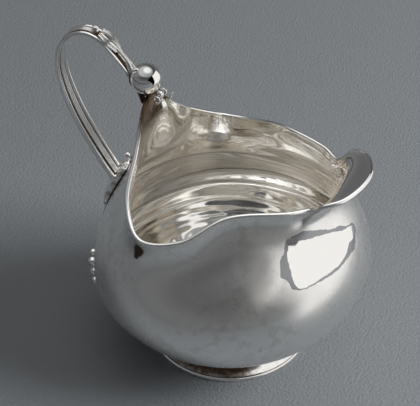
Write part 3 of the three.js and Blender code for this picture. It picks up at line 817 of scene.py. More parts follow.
    def rim_share(self, angle: Array) -> Array:
        """The share of the rim's length over each angle. Ribs lean towards the lip round the spout.

        Args:
            angle: Angles from the spout, from 0 to half a turn.

        Returns:
            A share for each angle.
        """
        f = np.minimum(angle / self.spout_angle, 1.0)
        leaning = (self.spout_share * (f - f ** 3 + f * f)
                   + self.spout_angle * self.spout_slope * (f ** 3 - f * f))
        upright = np.interp(angle, self.table_angles, self.table_shares)
        return np.where(angle < self.spout_angle, leaning, upright)

    def outline(self, angle: Array) -> dict[str, Array]:
        """Control points of the bowl's outline at angles of the body, as radius and height.

        Args:
            angle: Angles from the spout, from 0 to half a turn.

        Returns:
            The rim, the neck that it turns out from, the neck's angle, and the control points, by name.
        """
        share = self.rim_share(angle)
        rim, necking = self.rim.at_share(share), self.flares.at(self.rim.time(share))
        flare, arm = np.radians(necking[:, 0]), necking[:, 1]
        neck = rim + necking[:, 2:]
        forward = np.cos(angle)
        belly = np.stack([self.belly_radius + self.belly_forward * forward,
                          self.belly_height + self.belly_tilt * forward], axis=-1)
        base = np.broadcast_to([self.base_radius, self.foot_height], belly.shape)
        edge = np.stack([np.hypot(neck[:, 0], neck[:, 1]), neck[:, 2]], axis=-1)
        drop = belly[:, 1] - self.foot_height
        fullness = 0.42 + 0.08 * np.maximum(0.0, forward) ** 2
        rise = np.stack([belly[:, 0], lerp(belly[:, 1], edge[:, 1], fullness)], axis=-1)
        lean = edge - arm[:, None] * np.stack([np.sin(flare), np.cos(flare)], axis=-1)
        return {
            "rim": rim, "neck": neck, "neck_angle": np.arctan2(np.abs(neck[:, 1]), neck[:, 0]),
            "base": base, "belly": belly, "edge": edge, "rise": rise, "lean": lean,
            "swell": base + drop[:, None] * (0.34, 0.23), "hang": belly - drop[:, None] * (0.0, 0.38),
        }

    def _even_ribs(self) -> Array:
        """Control points by table angle, evened out over a fan of neighbouring angles.

        Returns:
            For each angle the rise, the shoulder, the point under the neck, the neck, and the neck's lead.
        """
        fan = np.radians(np.arange(-40.0, 40.1, 2.0))
        weights = bell(fan, self.fan_width)
        total = np.zeros((len(self.table_angles), 9))
        for turn, weight in zip(fan, weights / weights.sum()):
            turned = self.table_angles + turn
            side = np.where((turned < 0) | (turned > math.pi), -1.0, 1.0)
            folded = np.minimum(np.abs(turned), 2 * math.pi - np.abs(turned))
            o = self.outline(folded)
            lead = side * (o["neck_angle"] - folded)
            total += weight * np.column_stack([o["rise"], (o["rise"] + o["lean"]) / 2,
                                               lerp(o["edge"], o["lean"], 0.75), o["edge"], lead])
        return total

    def even(self, angle: Array, *columns: int) -> Array:
        """Columns of the evened ribs at angles of the body."""
        return np.stack([np.interp(angle, self.table_angles, self.even_ribs[:, k]) for k in columns], axis=-1)

    def rib(self, angle: Array) -> tuple[dict[str, Array], list[Array], list[Array]]:
        """The ribs at angles of the body.

        Args:
            angle: Angles from the spout, from 0 to half a turn.

        Returns:
            The outline's points, and the control points below and above the belly.
        """
        o = self.outline(angle)
        belly, edge = o["belly"], o["edge"]
        shoulder = self.even(angle, 2, 3)
        up = np.stack([belly[:, 0], lerp(belly[:, 1], self.even(angle, 1)[:, 0], 0.75)], axis=-1)
        under = lerp(edge, o["lean"], 0.75)
        return o, [o["base"], o["swell"], o["hang"], belly], [belly, up, shoulder, under, edge]

    def surface(self, angle: Array) -> tuple[Array, Array]:
        """The outer face, from the middle of the base to just short of the rim.

        Args:
            angle: Angles from the spout, from 0 to half a turn.

        Returns:
            Points by column and row, and each row's share of the way from the belly to the rim.
        """
        o, lower, upper = self.rib(angle)
        disc = np.linspace(0.12, 1.0, self.base_rows, endpoint=False)
        low = np.linspace(0.0, 1.0, self.lower_rows, endpoint=False)
        high = np.broadcast_to(np.linspace(0.0, 1.0, self.upper_rows + 1), (len(angle), self.upper_rows + 1))
        sag = self.base_sag * (1 - disc ** 2)
        base = np.stack([disc * self.base_radius, self.foot_height - sag], axis=-1)
        below = np.concatenate([np.broadcast_to(base, (len(angle), *base.shape)),
                                bezier([c[:, None] for c in lower], low[None, :, None])], axis=1)
        eased = smooth(high)
        exact = around(bezier([c[:, None] for c in upper], high[..., None]),
                       lerp(angle[:, None], o["neck_angle"][:, None], eased))
        even = (*upper[:3], self.even(angle, 4, 5), self.even(angle, 6, 7))
        easy = around(bezier([c[:, None] for c in even], high[..., None]),
                      angle[:, None] + self.even(angle, 8) * eased)
        front = smooth((self.neck_end - angle) / math.radians(30.0))[:, None]
        evened = front * (1.0 - smooth((high - self.neck_top) / (1.0 - self.neck_top)))
        above = lerp(exact, easy, evened[..., None])
        band = self._band(o["neck"], around(upper[-1] - upper[-2], o["neck_angle"]), o["rim"])
        points = np.concatenate([around(below, angle[:, None]), above, band], axis=1)
        share = np.concatenate([np.zeros(below.shape[:2]), self.band_from * high, np.broadcast_to(
            np.linspace(self.band_from, 1.0, self.band_rows + 1)[1:], band.shape[:2])], axis=1)
        return points, share

    def _band(self, neck: Array, rising: Array, rim: Array) -> Array:
        """The band that turns out from the neck, to just short of the rim's rolled edge.

        Args:
            neck: The neck's points.
            rising: The way that the wall runs there.
            rim: The rim's points.

        Returns:
            Points by column and row.
        """
        width = np.linalg.norm(rim - neck, axis=1, keepdims=True)
        turn = neck + self.band_turn * width * unit(rising)
        flat = lerp(rim, neck, self.band_flat)
        stop = 1.0 - self.rim_wall / 2 / (3.0 * self.band_flat * width)
        t = np.linspace(0.0, 1.0, self.band_rows + 1)[None, 1:] * stop
        return bezier([c[:, None] for c in (neck, turn, flat, rim)], t[..., None])

    def build(self, bench: Bench) -> None:
        """Makes the bowl and puts it in the place of its solid.

        Args:
            bench: Where it is made.
        """
        half, share = self.surface(np.linspace(0.0, math.pi, self.columns // 2 + 1))
        outer = np.concatenate([half, half[-2:0:-1] * (1.0, -1.0, 1.0)])
        share = np.concatenate([share, share[-2:0:-1]])
        normal = self._normals(outer)
        inner = outer - normal * self._wall(outer, share)[..., None]
        rim = self._rolled_edge(outer, normal)
        grid = np.concatenate([outer, rim, inner[:, ::-1]], axis=1)
        level = np.concatenate([share, np.ones(rim.shape[:2]), share[:, ::-1]], axis=1)
        rows = outer.shape[1]
        side = np.concatenate([np.zeros(rows), np.linspace(0, 1, self.rim_rows), np.ones(rows)])
        inside = np.broadcast_to(side, grid.shape[:2])
        hammered = self.floor_planish * (1.0 - smooth((grid[..., 2] - self.floor_planish_to) / 9.0))
        planish = smooth((0.97 - level) / 0.25) * lerp(1.0, hammered, inside)
        # The polish values mark a smoother patch; round it runs a painted grey reflection edge.
        piece = bench.skin("raised_bowl", grid.transpose(1, 0, 2), inside=inside.T, planish=planish.T,
                           tarnish=self._tarnish(grid, inside).T,
                           polish=self._patch(grid, inside, self.polish).T,
                           worn=self._patch(grid, inside, self.worn).T)
        bench.forms["planish"].apply(piece, Dents=self.dents, Depth=self.dent_depth * MM, Seed=3.0,
                                     Finish=bench.finishes["raised_silver"])
        bench.finish(piece, "raised_silver", Slot.POLISHED, "bowl")

    def _normals(self, outer: Array) -> Array:
        """The outer face's normals, evened out over neighbouring columns.

        Args:
            outer: Points of the outer face.

        Returns:
            A direction for each point.
        """
        along = np.roll(outer, -1, axis=0) - np.roll(outer, 1, axis=0)
        sharp = unit(np.cross(along, np.gradient(outer, axis=1)))
        return unit(sum(bell(float(k), self.even_columns) * np.roll(sharp, k, axis=0) for k in range(-9, 10)))

    def _wall(self, outer: Array, share: Array) -> Array:
        """The wall's thickness, with the raised courses that stand out on its inner face.

        Args:
            outer: Points of the outer face.
            share: Each point's share of the way from the belly to the rim.

        Returns:
            A thickness for each point.
        """
        height = outer[..., 2]
        turn = np.arctan2(outer[..., 1], outer[..., 0])
        strength = (smooth((height - self.ledge_from) / 8.0) * smooth((0.95 - share) / 0.2)
                    * (0.8 + 0.2 * np.sin(3 * turn + 1.0)))
        thick = lerp(self.wall, self.rim_wall, smooth((share - 0.8) / 0.2))
        for level, depth in self.ledges:
            wander = 0.5 * np.sin(2 * turn + 0.2 * level) + 0.25 * np.sin(5 * turn + level)
            rise = height - level - wander
            fall = np.where(rise > 0.0, rise / self.ledge_slope, -rise / self.ledge_drop)
            thick = thick + depth * strength * (1.0 - smooth(fall))
        return thick

    def _rolled_edge(self, outer: Array, normal: Array) -> Array:
        """The rim's rolled edge, from the outer face round to the inner.

        Args:
            outer: Points of the outer face.
            normal: Its normals.

        Returns:
            Points by column and row.
        """
        end, out = unit(outer[:, -1] - outer[:, -2])[:, None], normal[:, -1][:, None]
        roll = np.linspace(0.0, math.pi, self.rim_rows + 2)[None, 1:-1, None]
        middle = outer[:, -1][:, None] - out * self.rim_wall / 2
        return middle + self.rim_wall / 2 * (np.cos(roll) * out + np.sin(roll) * end)

    def _patch(self, points: Array, inside: Array, ring: tuple[tuple[float, float], ...]) -> Array:
        """How far inside a patch of the outer face the points lie.

        Args:
            points: Points of the sheet.
            inside: 1 on the inner face and 0 on the outer.
            ring: The patch's corners, as angles in degrees and heights.

        Returns:
            A share for each point: a half on the patch's edge, and 1 from three millimetres within.
        """
        scale = np.array([self.patch_pitch, 1.0])
        turn = np.degrees(np.arctan2(points[..., 1], points[..., 0]))
        place = np.stack([turn, points[..., 2]], axis=-1) * scale
        start = np.array(ring) * scale
        end = np.roll(start, -1, axis=0)
        run = end - start
        way = place[..., None, :] - start
        t = np.clip((way * run).sum(-1) / (run * run).sum(-1), 0.0, 1.0)
        gap = np.linalg.norm(way - t[..., None] * run, axis=-1).min(-1)
        x, y = (place[..., None, k] for k in (0, 1))
        beyond = (start[:, 1] > y) != (end[:, 1] > y)
        flat = np.where(run[:, 1] == 0.0, 1.0, run[:, 1])
        within = (beyond & (x < start[:, 0] + run[:, 0] * (y - start[:, 1]) / flat)).sum(-1) % 2
        return np.clip(0.5 + np.where(within == 1, gap, -gap) / self.patch_soft, 0.0, 1.0) * (inside == 0)

    def _tarnish(self, points: Array, inside: Array) -> Array:
        """How brown the sheet is: oxide under the ball, round the foot and at the stains; painted shade low
        on the belly above the foot; and painted shadow lines beside the leaf.

        Args:
            points: Points of the sheet.
            inside: 1 on the inner face and 0 on the outer.

        Returns:
            A number from 0 to 1 for each point.
        """
        x, y, z = np.moveaxis(points, -1, 0)
        outside = 1 - inside
        over_foot = z - self.foot_height
        under_peak = z - self.peak_height - 1.0
        peak = np.sqrt((x + self.peak_reach) ** 2 + (0.7 * y) ** 2 + (0.8 * under_peak) ** 2)
        tongue = self.tongue_brown * bell(peak, self.tongue_width) * lerp(0.4, 1.0, inside)
        foot = self.foot_brown * outside * bell(over_foot, 0.9) * smooth((np.hypot(x, y) - 20.0) / 3.0)
        # Painted shade: the lower belly browned for a few millimetres above the foot, standing in for the
        # shade that falls there.
        under = self.under_brown * outside * bell(over_foot, 3.5)
        # Painted shadow: thin brown lines on the bowl along the leaf plate's edges, standing in for the shade
        # in the gap under them.
        leaf = (self.leaf_brown * outside * (x < 0) * bell(np.abs(y) - 4.0, 0.35)
                * bell(z - self.leaf_middle, 6.0))
        spots = sum(self.stain_brown * outside * bell(np.linalg.norm(points - spot, axis=-1), width)
                    for *spot, width in self.stains)
        return np.clip(tongue + foot + under + leaf + spots, 0.0, 1.0)

    def back_radius(self, angle: Array, height: Array) -> Array:
        """The radius of the outer face, found by halving.

        Args:
            angle: Angles from the spout.
            height: Heights.

        Returns:
            A radius for each angle.
        """
        _, lower, upper = self.rib(angle)
        below = (height < upper[0][:, 1])[:, None]
        low, high = np.zeros(len(angle)), np.ones(len(angle))
        for _ in range(30):
            t = ((low + high) / 2)[:, None]
            found = np.where(below, bezier(lower, t), bezier(upper, t))
            under = found[:, 1] < height
            low, high = np.where(under, t[:, 0], low), np.where(under, high, t[:, 0])
        return found[:, 0]

    def back_face(self, side: Array, height: Array) -> Array:
        """Points of the outer face at the back.

        Args:
            side: Sideways places.
            height: Heights.

        Returns:
            A point for each place.
        """
        radius = self.back_radius(np.full(len(side), math.pi), height)
        for _ in range(6):
            angle = math.pi - np.arcsin(np.abs(side) / radius)
            radius = self.back_radius(angle, height)
        return np.stack([radius * np.cos(angle), side, height], axis=-1)

    def on_back(self, side: Array, height: Array, lift: Array | float) -> Array:
        """Points lifted off the back of the bowl.

        Args:
            side: Sideways places.
            height: Heights.
            lift: How far off the silver.

        Returns:
            The points, in the layout of the given arrays.
        """
        side, height, lift = np.broadcast_arrays(*(np.asarray(v, float) for v in (side, height, lift)))
        shape = side.shape
        s, h = side.ravel(), height.ravel()
        across = self.back_face(s + 0.2, h) - self.back_face(s - 0.2, h)
        up = self.back_face(s, h + 0.2) - self.back_face(s, h - 0.2)
        normal = unit(np.cross(up, across))
        return (self.back_face(s, h) + normal * lift.reshape(-1, 1)).reshape(*shape, 3)


@dataclass
class Foot:
    """The foot: a coved collar on a half-round wire."""

    bowl: Bowl
    radius: float = 26.4
    wall: float = 1.3
    step: float = 0.6
    bead_height: float = 1.5
    segments: int = 192
    # Painted highlight: the side where the collar's brown is cut back, where the light reflects.
    clean_side: float = math.radians(-25.0)
    clean_share: float = 0.3
    nose_turn: float = 0.38 * math.pi

    def _lathe(self, bench: Bench, name: str, profile: Array, tarnish: Array) -> bpy.types.Object:
        """Turns a closed profile of radius and height round the axis.

        Args:
            bench: Where it is made.
            name: The piece's name.
            profile: The closed profile.
            tarnish: How brown each point of the profile is.

        Returns:
            The piece.
        """
        count = len(profile)
        angle = np.linspace(0.0, 2 * math.pi, self.segments, endpoint=False)
        points = around(profile, angle[:, None])
        i, j = np.indices((self.segments, count)).reshape(2, -1)
        i1, j1 = (i + 1) % self.segments, (j + 1) % count
        faces = np.stack([i * count + j, i1 * count + j, i1 * count + j1, i * count + j1], axis=-1)
        area = np.cross(profile, np.roll(profile, -1, axis=0)).sum()
        faces = faces if area > 0 else faces[:, ::-1]
        # The collar's brown is oxide in its cove, cut back in a narrow window on the lit front-right: partly
        # real oxide, partly painted highlight.
        highlight_cut = lerp(self.clean_share, 1.0, smooth((0.96 - np.cos(angle - self.clean_side)) / 0.14))
        return bench.mesh(name, points.reshape(-1, 3), [], faces.tolist(),
                          {"tarnish": np.outer(highlight_cut, tarnish).ravel()})

    def build(self, bench: Bench) -> None:
        """Makes the collar and the wire.

        Args:
            bench: Where they are made.
        """
        low, top = self.bead_height, self.bowl.foot_height + 0.15
        t = np.linspace(0.0, 1.0, 22)
        flare = lerp(self.radius - self.step, self.bowl.base_radius - 0.1, np.sin(t * math.pi / 2) ** 0.8)
        outside = np.stack([flare, lerp(low, top, t)], axis=-1)
        inside = (outside - (self.wall, 0.0))[::-1]
        brown = np.concatenate([0.68 + 0.25 * bell(t - 0.6, 0.25), np.full(len(t), 0.5)])
        collar = self._lathe(bench, "coved_collar", np.concatenate([outside, inside]), brown)
        bench.finish(collar, "foot_silver", Slot.WORN, "foot_collar")
        half = self.bead_height / 2
        turn = np.linspace(-self.nose_turn, self.nose_turn, 15)
        nose = np.stack([self.radius - half + half * np.cos(turn),
                         half + half * np.sin(turn) / math.sin(self.nose_turn)], axis=-1)
        inner = self.radius - self.step - self.wall
        profile = np.concatenate([nose, [(inner, self.bead_height), (inner, 0.0)]])
        brown = np.concatenate([0.4 * bell(turn - turn[-1], 0.25), [0.5, 0.5]])
        bead = self._lathe(bench, "foot_wire", profile, brown)
        bench.finish(bead, "foot_silver", Slot.POLISHED, "foot_bead")


@dataclass
class Ball:
    """The polished ball on the peak of the rim."""

    bowl: Bowl
    radius: float = 4.9
    crest: float = 0.5
    gap: float = 0.3
    neck_radius: float = 1.5
    neck_drop: float = 0.55
    rings: int = 72
    sides: int = 96

    def __post_init__(self) -> None:
        """Finds the ball's middle."""
        self.reach = self.bowl.peak_reach + 0.1
        self.height = self.bowl.peak_height + self.crest + self.gap + self.radius
        self.centre = np.array([-self.reach, 0.0, self.height])

    def build(self, bench: Bench) -> None:
        """Makes the ball, with the neck of solder that it stands on.

        Args:
            bench: Where it is made.
        """
        polar = np.linspace(0.01, 0.9 * math.pi, self.rings)
        ball = self.radius * np.stack([np.sin(polar), np.cos(polar)], axis=-1)
        t = np.linspace(0.0, 1.0, 8)[1:]
        neck = np.stack([lerp(ball[-1, 0], self.neck_radius, np.sqrt(t)),
                         lerp(ball[-1, 1], -self.radius - self.neck_drop, t)], axis=-1)
        profile = np.concatenate([ball, neck])
        turn = np.linspace(0.0, 2 * math.pi, self.sides, endpoint=False)
        grid = self.centre + around(profile[:, None], turn)
        below = (-profile[:, 1:] / self.radius - 0.72) / 0.22
        brown = np.broadcast_to(smooth(below), grid.shape[:2])
        piece = bench.skin("polished_ball", grid, tarnish=brown)
        bench.finish(piece, "ball_silver", Slot.MIRROR, "ball_finial")


@dataclass
class Handle:
    """The loop handle: a reeded strap between two edge wires."""

    bowl: Bowl
    ball: Ball
    top_reach: float = 46.6
    top_height: float = 107.4
    back_reach: float = 56.6
    back_height: float = 94.5
    foot_height: float = 52.6
    half_width: float = 1.9
    half_plate: float = 0.3
    reed_height: float = 0.43
    reeds: int = 3
    reed_share: float = 0.65
    reed_valley: float = 0.25
    groove_brown: float = 0.75
    # Painted shade in the bare channel between the reeds and the edge wires.
    bare_brown: float = 0.85
    wire_radius: float = 0.82
    slim_strap: float = 0.66
    slim_wire: float = 0.78
    wire_start: float = 0.42
    wire_from: float = 10.6
    edge_round: float = 0.2
    gap: float = 0.3
    bed: float = 1.3
    bud_fade: float = 6.0
    stations: int = 260
    columns: int = 77

    def __post_init__(self) -> None:
        """Lays the centre line and finds where it meets the leaf."""
        foot_reach = -self.bowl.back_face(np.zeros(1), np.array([self.foot_height]))[0, 0]

        def beside(degrees: float) -> tuple[float, float]:
            """A place beside the ball.

            Args:
                degrees: The angle round the ball, from straight back.

            Returns:
                Its reach and height.
            """
            clear = self.ball.radius + self.gap + self.half_plate / 3
            a = math.radians(degrees)
            return self.ball.reach + clear * math.cos(a), self.ball.height + clear * math.sin(a)

        def bow(degrees: float) -> tuple[float, float]:
            """A place on the bow at the top."""
            a = math.radians(degrees)
            return (self.top_reach + (self.back_reach - self.top_reach) * math.sin(a),
                    self.back_height + (self.top_height - self.back_height) * math.cos(a))

        def leg(share: float, bulge: float) -> tuple[float, float]:
            """A place on the leg at the back."""
            return (lerp(self.back_reach, foot_reach, share) + bulge,
                    lerp(self.back_height, self.foot_height, share))

        line = [(self.bowl.peak_reach + 1.1, self.bowl.peak_height - 3.2),
                *map(beside, (-60.0, -25.0, 12.0)),
                (self.ball.reach + self.ball.radius + 4.4, self.ball.height + 6.6),
                *map(bow, (-28.0, 0.0, 30.0, 60.0, 90.0)),
                leg(0.18, 2.4), leg(0.45, 3.6), leg(0.72, 2.6), leg(1.0, 0.2), leg(1.06, -1.2)]
        self.line = Spline([(-reach, 0.0, height) for reach, height in line])
        self.length = self.line.length
        tail = np.linspace(0.8 * self.length, self.length, 400)
        spots = self.at(tail, 0.0, 0.0)
        lift = self.bowl.back_face(np.zeros(len(tail)), spots[:, 2])[:, 0] - spots[:, 0]
        self.end = float(tail[np.argmax(lift < self.bed)])

    def at(self, distance: Array, side: Array | float, out: Array | float) -> Array:
        """Places on the handle.

        Args:
            distance: Distances along it.
            side: Sideways places.
            out: How far out from its middle on the outer side.

        Returns:
            The points, in the layout of the given arrays.
        """
        distance, side, out = np.broadcast_arrays(*(np.asarray(v, float) for v in (distance, side, out)))
        share = np.clip(distance.ravel() / self.length, 0.0, 1.0)
        tangent = self.line.tangent(share)
        points = self.line.at_share(share)
        points[:, 1] += side.ravel()
        points[:, 0] += tangent[:, 2] * out.ravel()
        points[:, 2] -= tangent[:, 0] * out.ravel()
        return points.reshape(*distance.shape, 3)

    def leg_share(self, distance: Array) -> Array:
        """How far the strap has widened towards its full width on the leg."""
        return smooth((distance / self.length - 0.3) / 0.35)

    def bow_share(self, distance: Array) -> Array:
        """How far the strap has come away from the ball."""
        return smooth((distance / self.length - 0.04) / 0.22)

    def strap_growth(self, distance: Array) -> Array:
        """The strap's width as a share of its full width."""
        return lerp(self.slim_strap, 1.0, self.leg_share(distance))

    def wire_size(self, distance: Array) -> Array:
        """The radius of the edge wires."""
        start = lerp(self.wire_start, self.slim_wire, self.bow_share(distance))
        return self.wire_radius * lerp(start, 1.0, self.leg_share(distance))

    def build(self, bench: Bench, bud_end: float) -> None:
        """Makes the strap and the wires.

        Args:
            bench: Where they are made.
            bud_end: Where the bud on the outer face ends.
        """
        pitch = 2 * self.reed_share * self.half_width / self.reeds
        across = np.linspace(-self.half_width, self.half_width, self.columns)
        reed = across / pitch + self.reeds / 2
        bump = np.sqrt(np.maximum(0.0, 1.0 - (2.0 * (reed % 1.0) - 1.0) ** 2))
        on_reed = (reed > 0.0) & (reed < self.reeds)
        rise = np.where(on_reed, lerp(self.reed_valley, 1.0, bump), 0.0) * self.reed_height
        # Reed grooves carry oxide; the bare margins beside the wires are browned as painted shade in the
        # channel.
        brown = np.where(on_reed, self.groove_brown * (1.0 - bump) ** 1.5, self.bare_brown)
        to_edge = np.clip((np.abs(across) - self.half_width) / self.edge_round + 1.0, 0, 1)
        edge = np.sqrt(np.maximum(0.05, 1.0 - to_edge ** 2))
        distance = np.linspace(0.0, self.end, self.stations)
        low = lerp(0.3, 1.0, self.bow_share(distance))[:, None]
        growth = self.strap_growth(distance)[:, None]
        under_bud = 1.0 - smooth((distance - bud_end) / self.bud_fade)[:, None]
        upper = self.half_plate * edge + rise * low * lerp(1.0, 0.3, under_bud)
        lower = -self.half_plate * edge - rise * low
        side = np.broadcast_to(across, upper.shape) * growth
        rings = np.concatenate([self.at(distance[:, None], side, upper),
                                self.at(distance[:, None], side[:, ::-1], lower[:, ::-1])], axis=1)
        face = np.maximum(np.broadcast_to(brown, upper.shape), 0.95 * under_bud)
        tarnish = np.concatenate([face, np.broadcast_to(brown[::-1], upper.shape)], axis=1)
        near_ball = bell(distance - 3.0, 4.0)[:, None]
        strap = bench.skin("reeded_strap", rings, tarnish=np.clip(tarnish + near_ball, 0, 1))
        bench.finish(strap, "relief_silver", Slot.WORN, "handle_strap")
        run = np.linspace(self.wire_from, self.end, self.stations)
        thick = self.wire_size(run)
        beside = self.half_width * self.strap_growth(run) + 0.2 * self.gap + thick
        for hand in Hand:
            bench.wire(f"edge_wire_{hand.word}", self.at(run, hand.value * beside, 0.0), thick, Slot.POLISHED,
                       f"handle_wire_{hand.word}", sides=16, tarnish=0.6 * bell(run - self.wire_from, 2.0))


@dataclass
class Bud:
    """The stem out of the ball and the ribbed bud that it opens into, on the outer face of the strap."""

    handle: Handle
    stem_length: float = 7.0
    stem_half_width: float = 0.65
    length: float = 8.2
    half_width: float = 1.9
    height: float = 0.95
    wire_radius: float = 0.36
    curl_radius: float = 1.0
    curl_steps: float = 8.0
    curl_start: float = -140.0
    curl_turn: float = 52.0
    stem_brown: float = 0.5
    bud_brown: float = 0.9
    gap: float = 0.3
    section: tuple[tuple[float, float], ...] = (
        (1.0, -0.9), (0.98, 0.3), (0.86, 0.8), (0.6, 1.0), (0.36, 0.84), (0.22, 0.62), (0.1, 0.95))

    def __post_init__(self) -> None:
        """Finds where the stem leaves the ball."""
        h = self.handle
        self.seat = h.half_plate + h.reed_height + self.gap
        run = np.arange(0.0, h.length / 3, 0.05)
        off = np.linalg.norm(h.at(run, 0.0, self.seat) - h.ball.centre, axis=1)
        self.start = float(run[np.argmin(off)]) + 1.2
        self.open = self.start + self.stem_length
        self.end = self.open + self.length

    def width(self, distance: Array) -> Array:
        """The bud's half width.

        Args:
            distance: Distances along the handle.

        Returns:
            A half width for each distance.
        """
        t = (distance - self.open) / self.length
        return (lerp(1.1 * self.stem_half_width, self.half_width, smooth(t / 0.6))
                * (1.0 - 0.35 * smooth((t - 0.7) / 0.3)))

    def _loft(self, bench: Bench, name: str, node: str, run: Array, half: Array, height: Array,
              brown: float) -> None:
        """Makes a ribbed ornament that lies on the strap.

        Args:
            bench: Where it is made.
            name: The piece's name.
            node: The solid that it stands for.
            run: Distances along the handle.
            half: Its half width at each.
            height: Its height at each.
            brown: How brown its grooves are.
        """
        section = Spline([*((-side, up) for side, up in self.section), (0.0, 1.08), *self.section[::-1]])
        across, rise = section.at(np.linspace(0, 1, 57)).T
        groove = brown * np.maximum(bell(np.abs(across) - 0.22, 0.07), smooth((0.5 - rise) / 0.5))
        rings = self.handle.at(run[:, None], across * half[:, None], self.seat + rise * height[:, None])
        piece = bench.skin(name, rings, tarnish=np.broadcast_to(groove, rings.shape[:2]))
        bench.finish(piece, "relief_silver", Slot.WORN, node)

    def build(self, bench: Bench) -> None:
        """Makes the stem, the bud, and the wires round it.

        Args:
            bench: Where they are made.
        """
        run = np.linspace(self.start - 0.6, self.open + 0.2, 60)
        foot = smooth(1.0 - (run - self.start) / (0.6 * self.stem_length))
        self._loft(bench, "ball_stem", "stem", run, self.stem_half_width * (1.0 + 1.1 * foot),
                   np.full(len(run), self.height), self.stem_brown)
        run = np.linspace(self.open, self.end, 80)
        t = (run - self.open) / self.length
        rounded = np.sqrt(np.minimum(1, 12 * (1.02 - t)))
        self._loft(bench, "ribbed_bud", "bud", run, self.width(run),
                   self.height * (1.0 + 0.25 * np.sin(math.pi * t)) * rounded, self.bud_brown)
        out = self.seat + self.wire_radius
        beside = self.wire_radius + 0.5 * self.gap
        run = np.linspace(self.open + 0.12 * self.length, self.end, 60)
        for hand in Hand:
            line = self.handle.at(run, hand.value * (self.width(run) + beside), out)
            bench.wire(f"bud_edge_{hand.word}", line, self.wire_radius, Slot.POLISHED,
                       f"bud_wire_{hand.word}")
        middle = self.end + self.gap + self.wire_radius + self.curl_radius
        i = np.linspace(0.0, self.curl_steps, 90)
        a = np.radians(self.curl_start + self.curl_turn * i)
        r = self.curl_radius * (1.0 - 0.09 * i)
        coil = self.handle.at(middle + r * np.sin(a), r * np.cos(a), out + 0.12 * i)
        bench.wire("bud_coil", coil, self.wire_radius * (1.0 - 0.25 * i / self.curl_steps), Slot.POLISHED,
                   "bud_curl")


@dataclass
class Sprig:
    """The sprig under the ball, inside the mouth: a berry, a hanging leaf, a tip and two curls."""

    ball: Ball
    slope: float = math.radians(-46.0)
    berry_radius: float = 1.4
    drop_length: float = 7.2
    drop_half_width: float = 1.35
    drop_lean: float = math.radians(17.0)
    curl_radius: float = 1.15
    curl_steps: float = 7.0
    curl_start: float = 200.0
    curl_turn: float = -46.0
    wire_radius: float = 0.42
    gap: float = 0.3
    hook: tuple[tuple[float, float], ...] = ((-0.4, -1.7), (0.7, -1.2), (1.3, -0.2), (1.7, 1.1), (2.2, 2.0))

    def __post_init__(self) -> None:
        """Finds the berry's middle."""
        arm = self.ball.radius + self.gap + self.berry_radius
        self.centre = self.ball.centre + arm * np.array([math.cos(self.slope), 0.0, math.sin(self.slope)])

    def build(self, bench: Bench) -> None:
        """Makes the sprig's pieces.

        Args:
            bench: Where they are made.
        """
        bench.beads("sprig_bead", self.centre[None], np.array([self.berry_radius]), 500.0, 0.25, 1.0,
                    "sprig_berry")
        self._drop(bench)
        reach = self.berry_radius + self.gap + self.wire_radius
        hook = Spline([self.centre + (reach + x, 0.0, z) for x, z in self.hook])
        t = np.linspace(0, 1, 50)
        bench.wire("sprig_point", hook.at_share(t), self.wire_radius * (1 - 0.35 * t), Slot.POLISHED,
                   "sprig_tip")
        i = np.linspace(0.0, self.curl_steps, 80)
        a = np.radians(self.curl_start + self.curl_turn * i)
        r = self.curl_radius * (1.0 - 0.05 * i)
        for hand in Hand:
            side = hand.value * (reach + 0.12 * i)
            coil = self.centre + np.stack([r * np.cos(a), side, r * np.sin(a) - 0.6], axis=-1)
            bench.wire(f"sprig_scroll_{hand.word}", coil, self.wire_radius * (1 - 0.2 * i / self.curl_steps),
                       Slot.WORN, f"sprig_curl_{hand.word}")

    def _drop(self, bench: Bench) -> None:
        """Makes the hanging leaf, with a ridge down its middle.

        Args:
            bench: Where it is made.
        """
        lean = self.drop_lean
        along = np.array([math.sin(lean), 0.0, -math.cos(lean)])
        face = np.array([math.cos(lean), 0.0, math.sin(lean)])
        top = self.centre + along * (self.berry_radius + 0.3 * self.gap)
        t = np.linspace(0.0, 0.985, 60)
        half = self.drop_half_width * np.sin(math.pi * np.maximum(t, 0.02) ** 0.62) + 0.06
        a = np.linspace(0.0, 2 * math.pi, 32, endpoint=False)
        ridge = 0.5 + 0.22 * bell(np.abs(np.sin(a)) - 1.0, 0.12) * np.sign(np.sin(a))
        rings = (top + along * (self.drop_length * t)[:, None, None]
                 + np.array([0.0, 1.0, 0.0]) * (half[:, None] * np.cos(a))[..., None]
                 + face * (half[:, None] * np.sin(a) * ridge)[..., None])
        # Painted shade: the side of the hanging leaf that faces the wall behind it is browned, standing in
        # for the shade in the gap there.
        brown = np.broadcast_to(0.7 * smooth((-np.sin(a) + 0.1) / 0.6), rings.shape[:2])
        drop = bench.skin("sprig_leaf", rings, tarnish=brown)
        bench.finish(drop, "wire_silver", Slot.POLISHED, "sprig_drop")


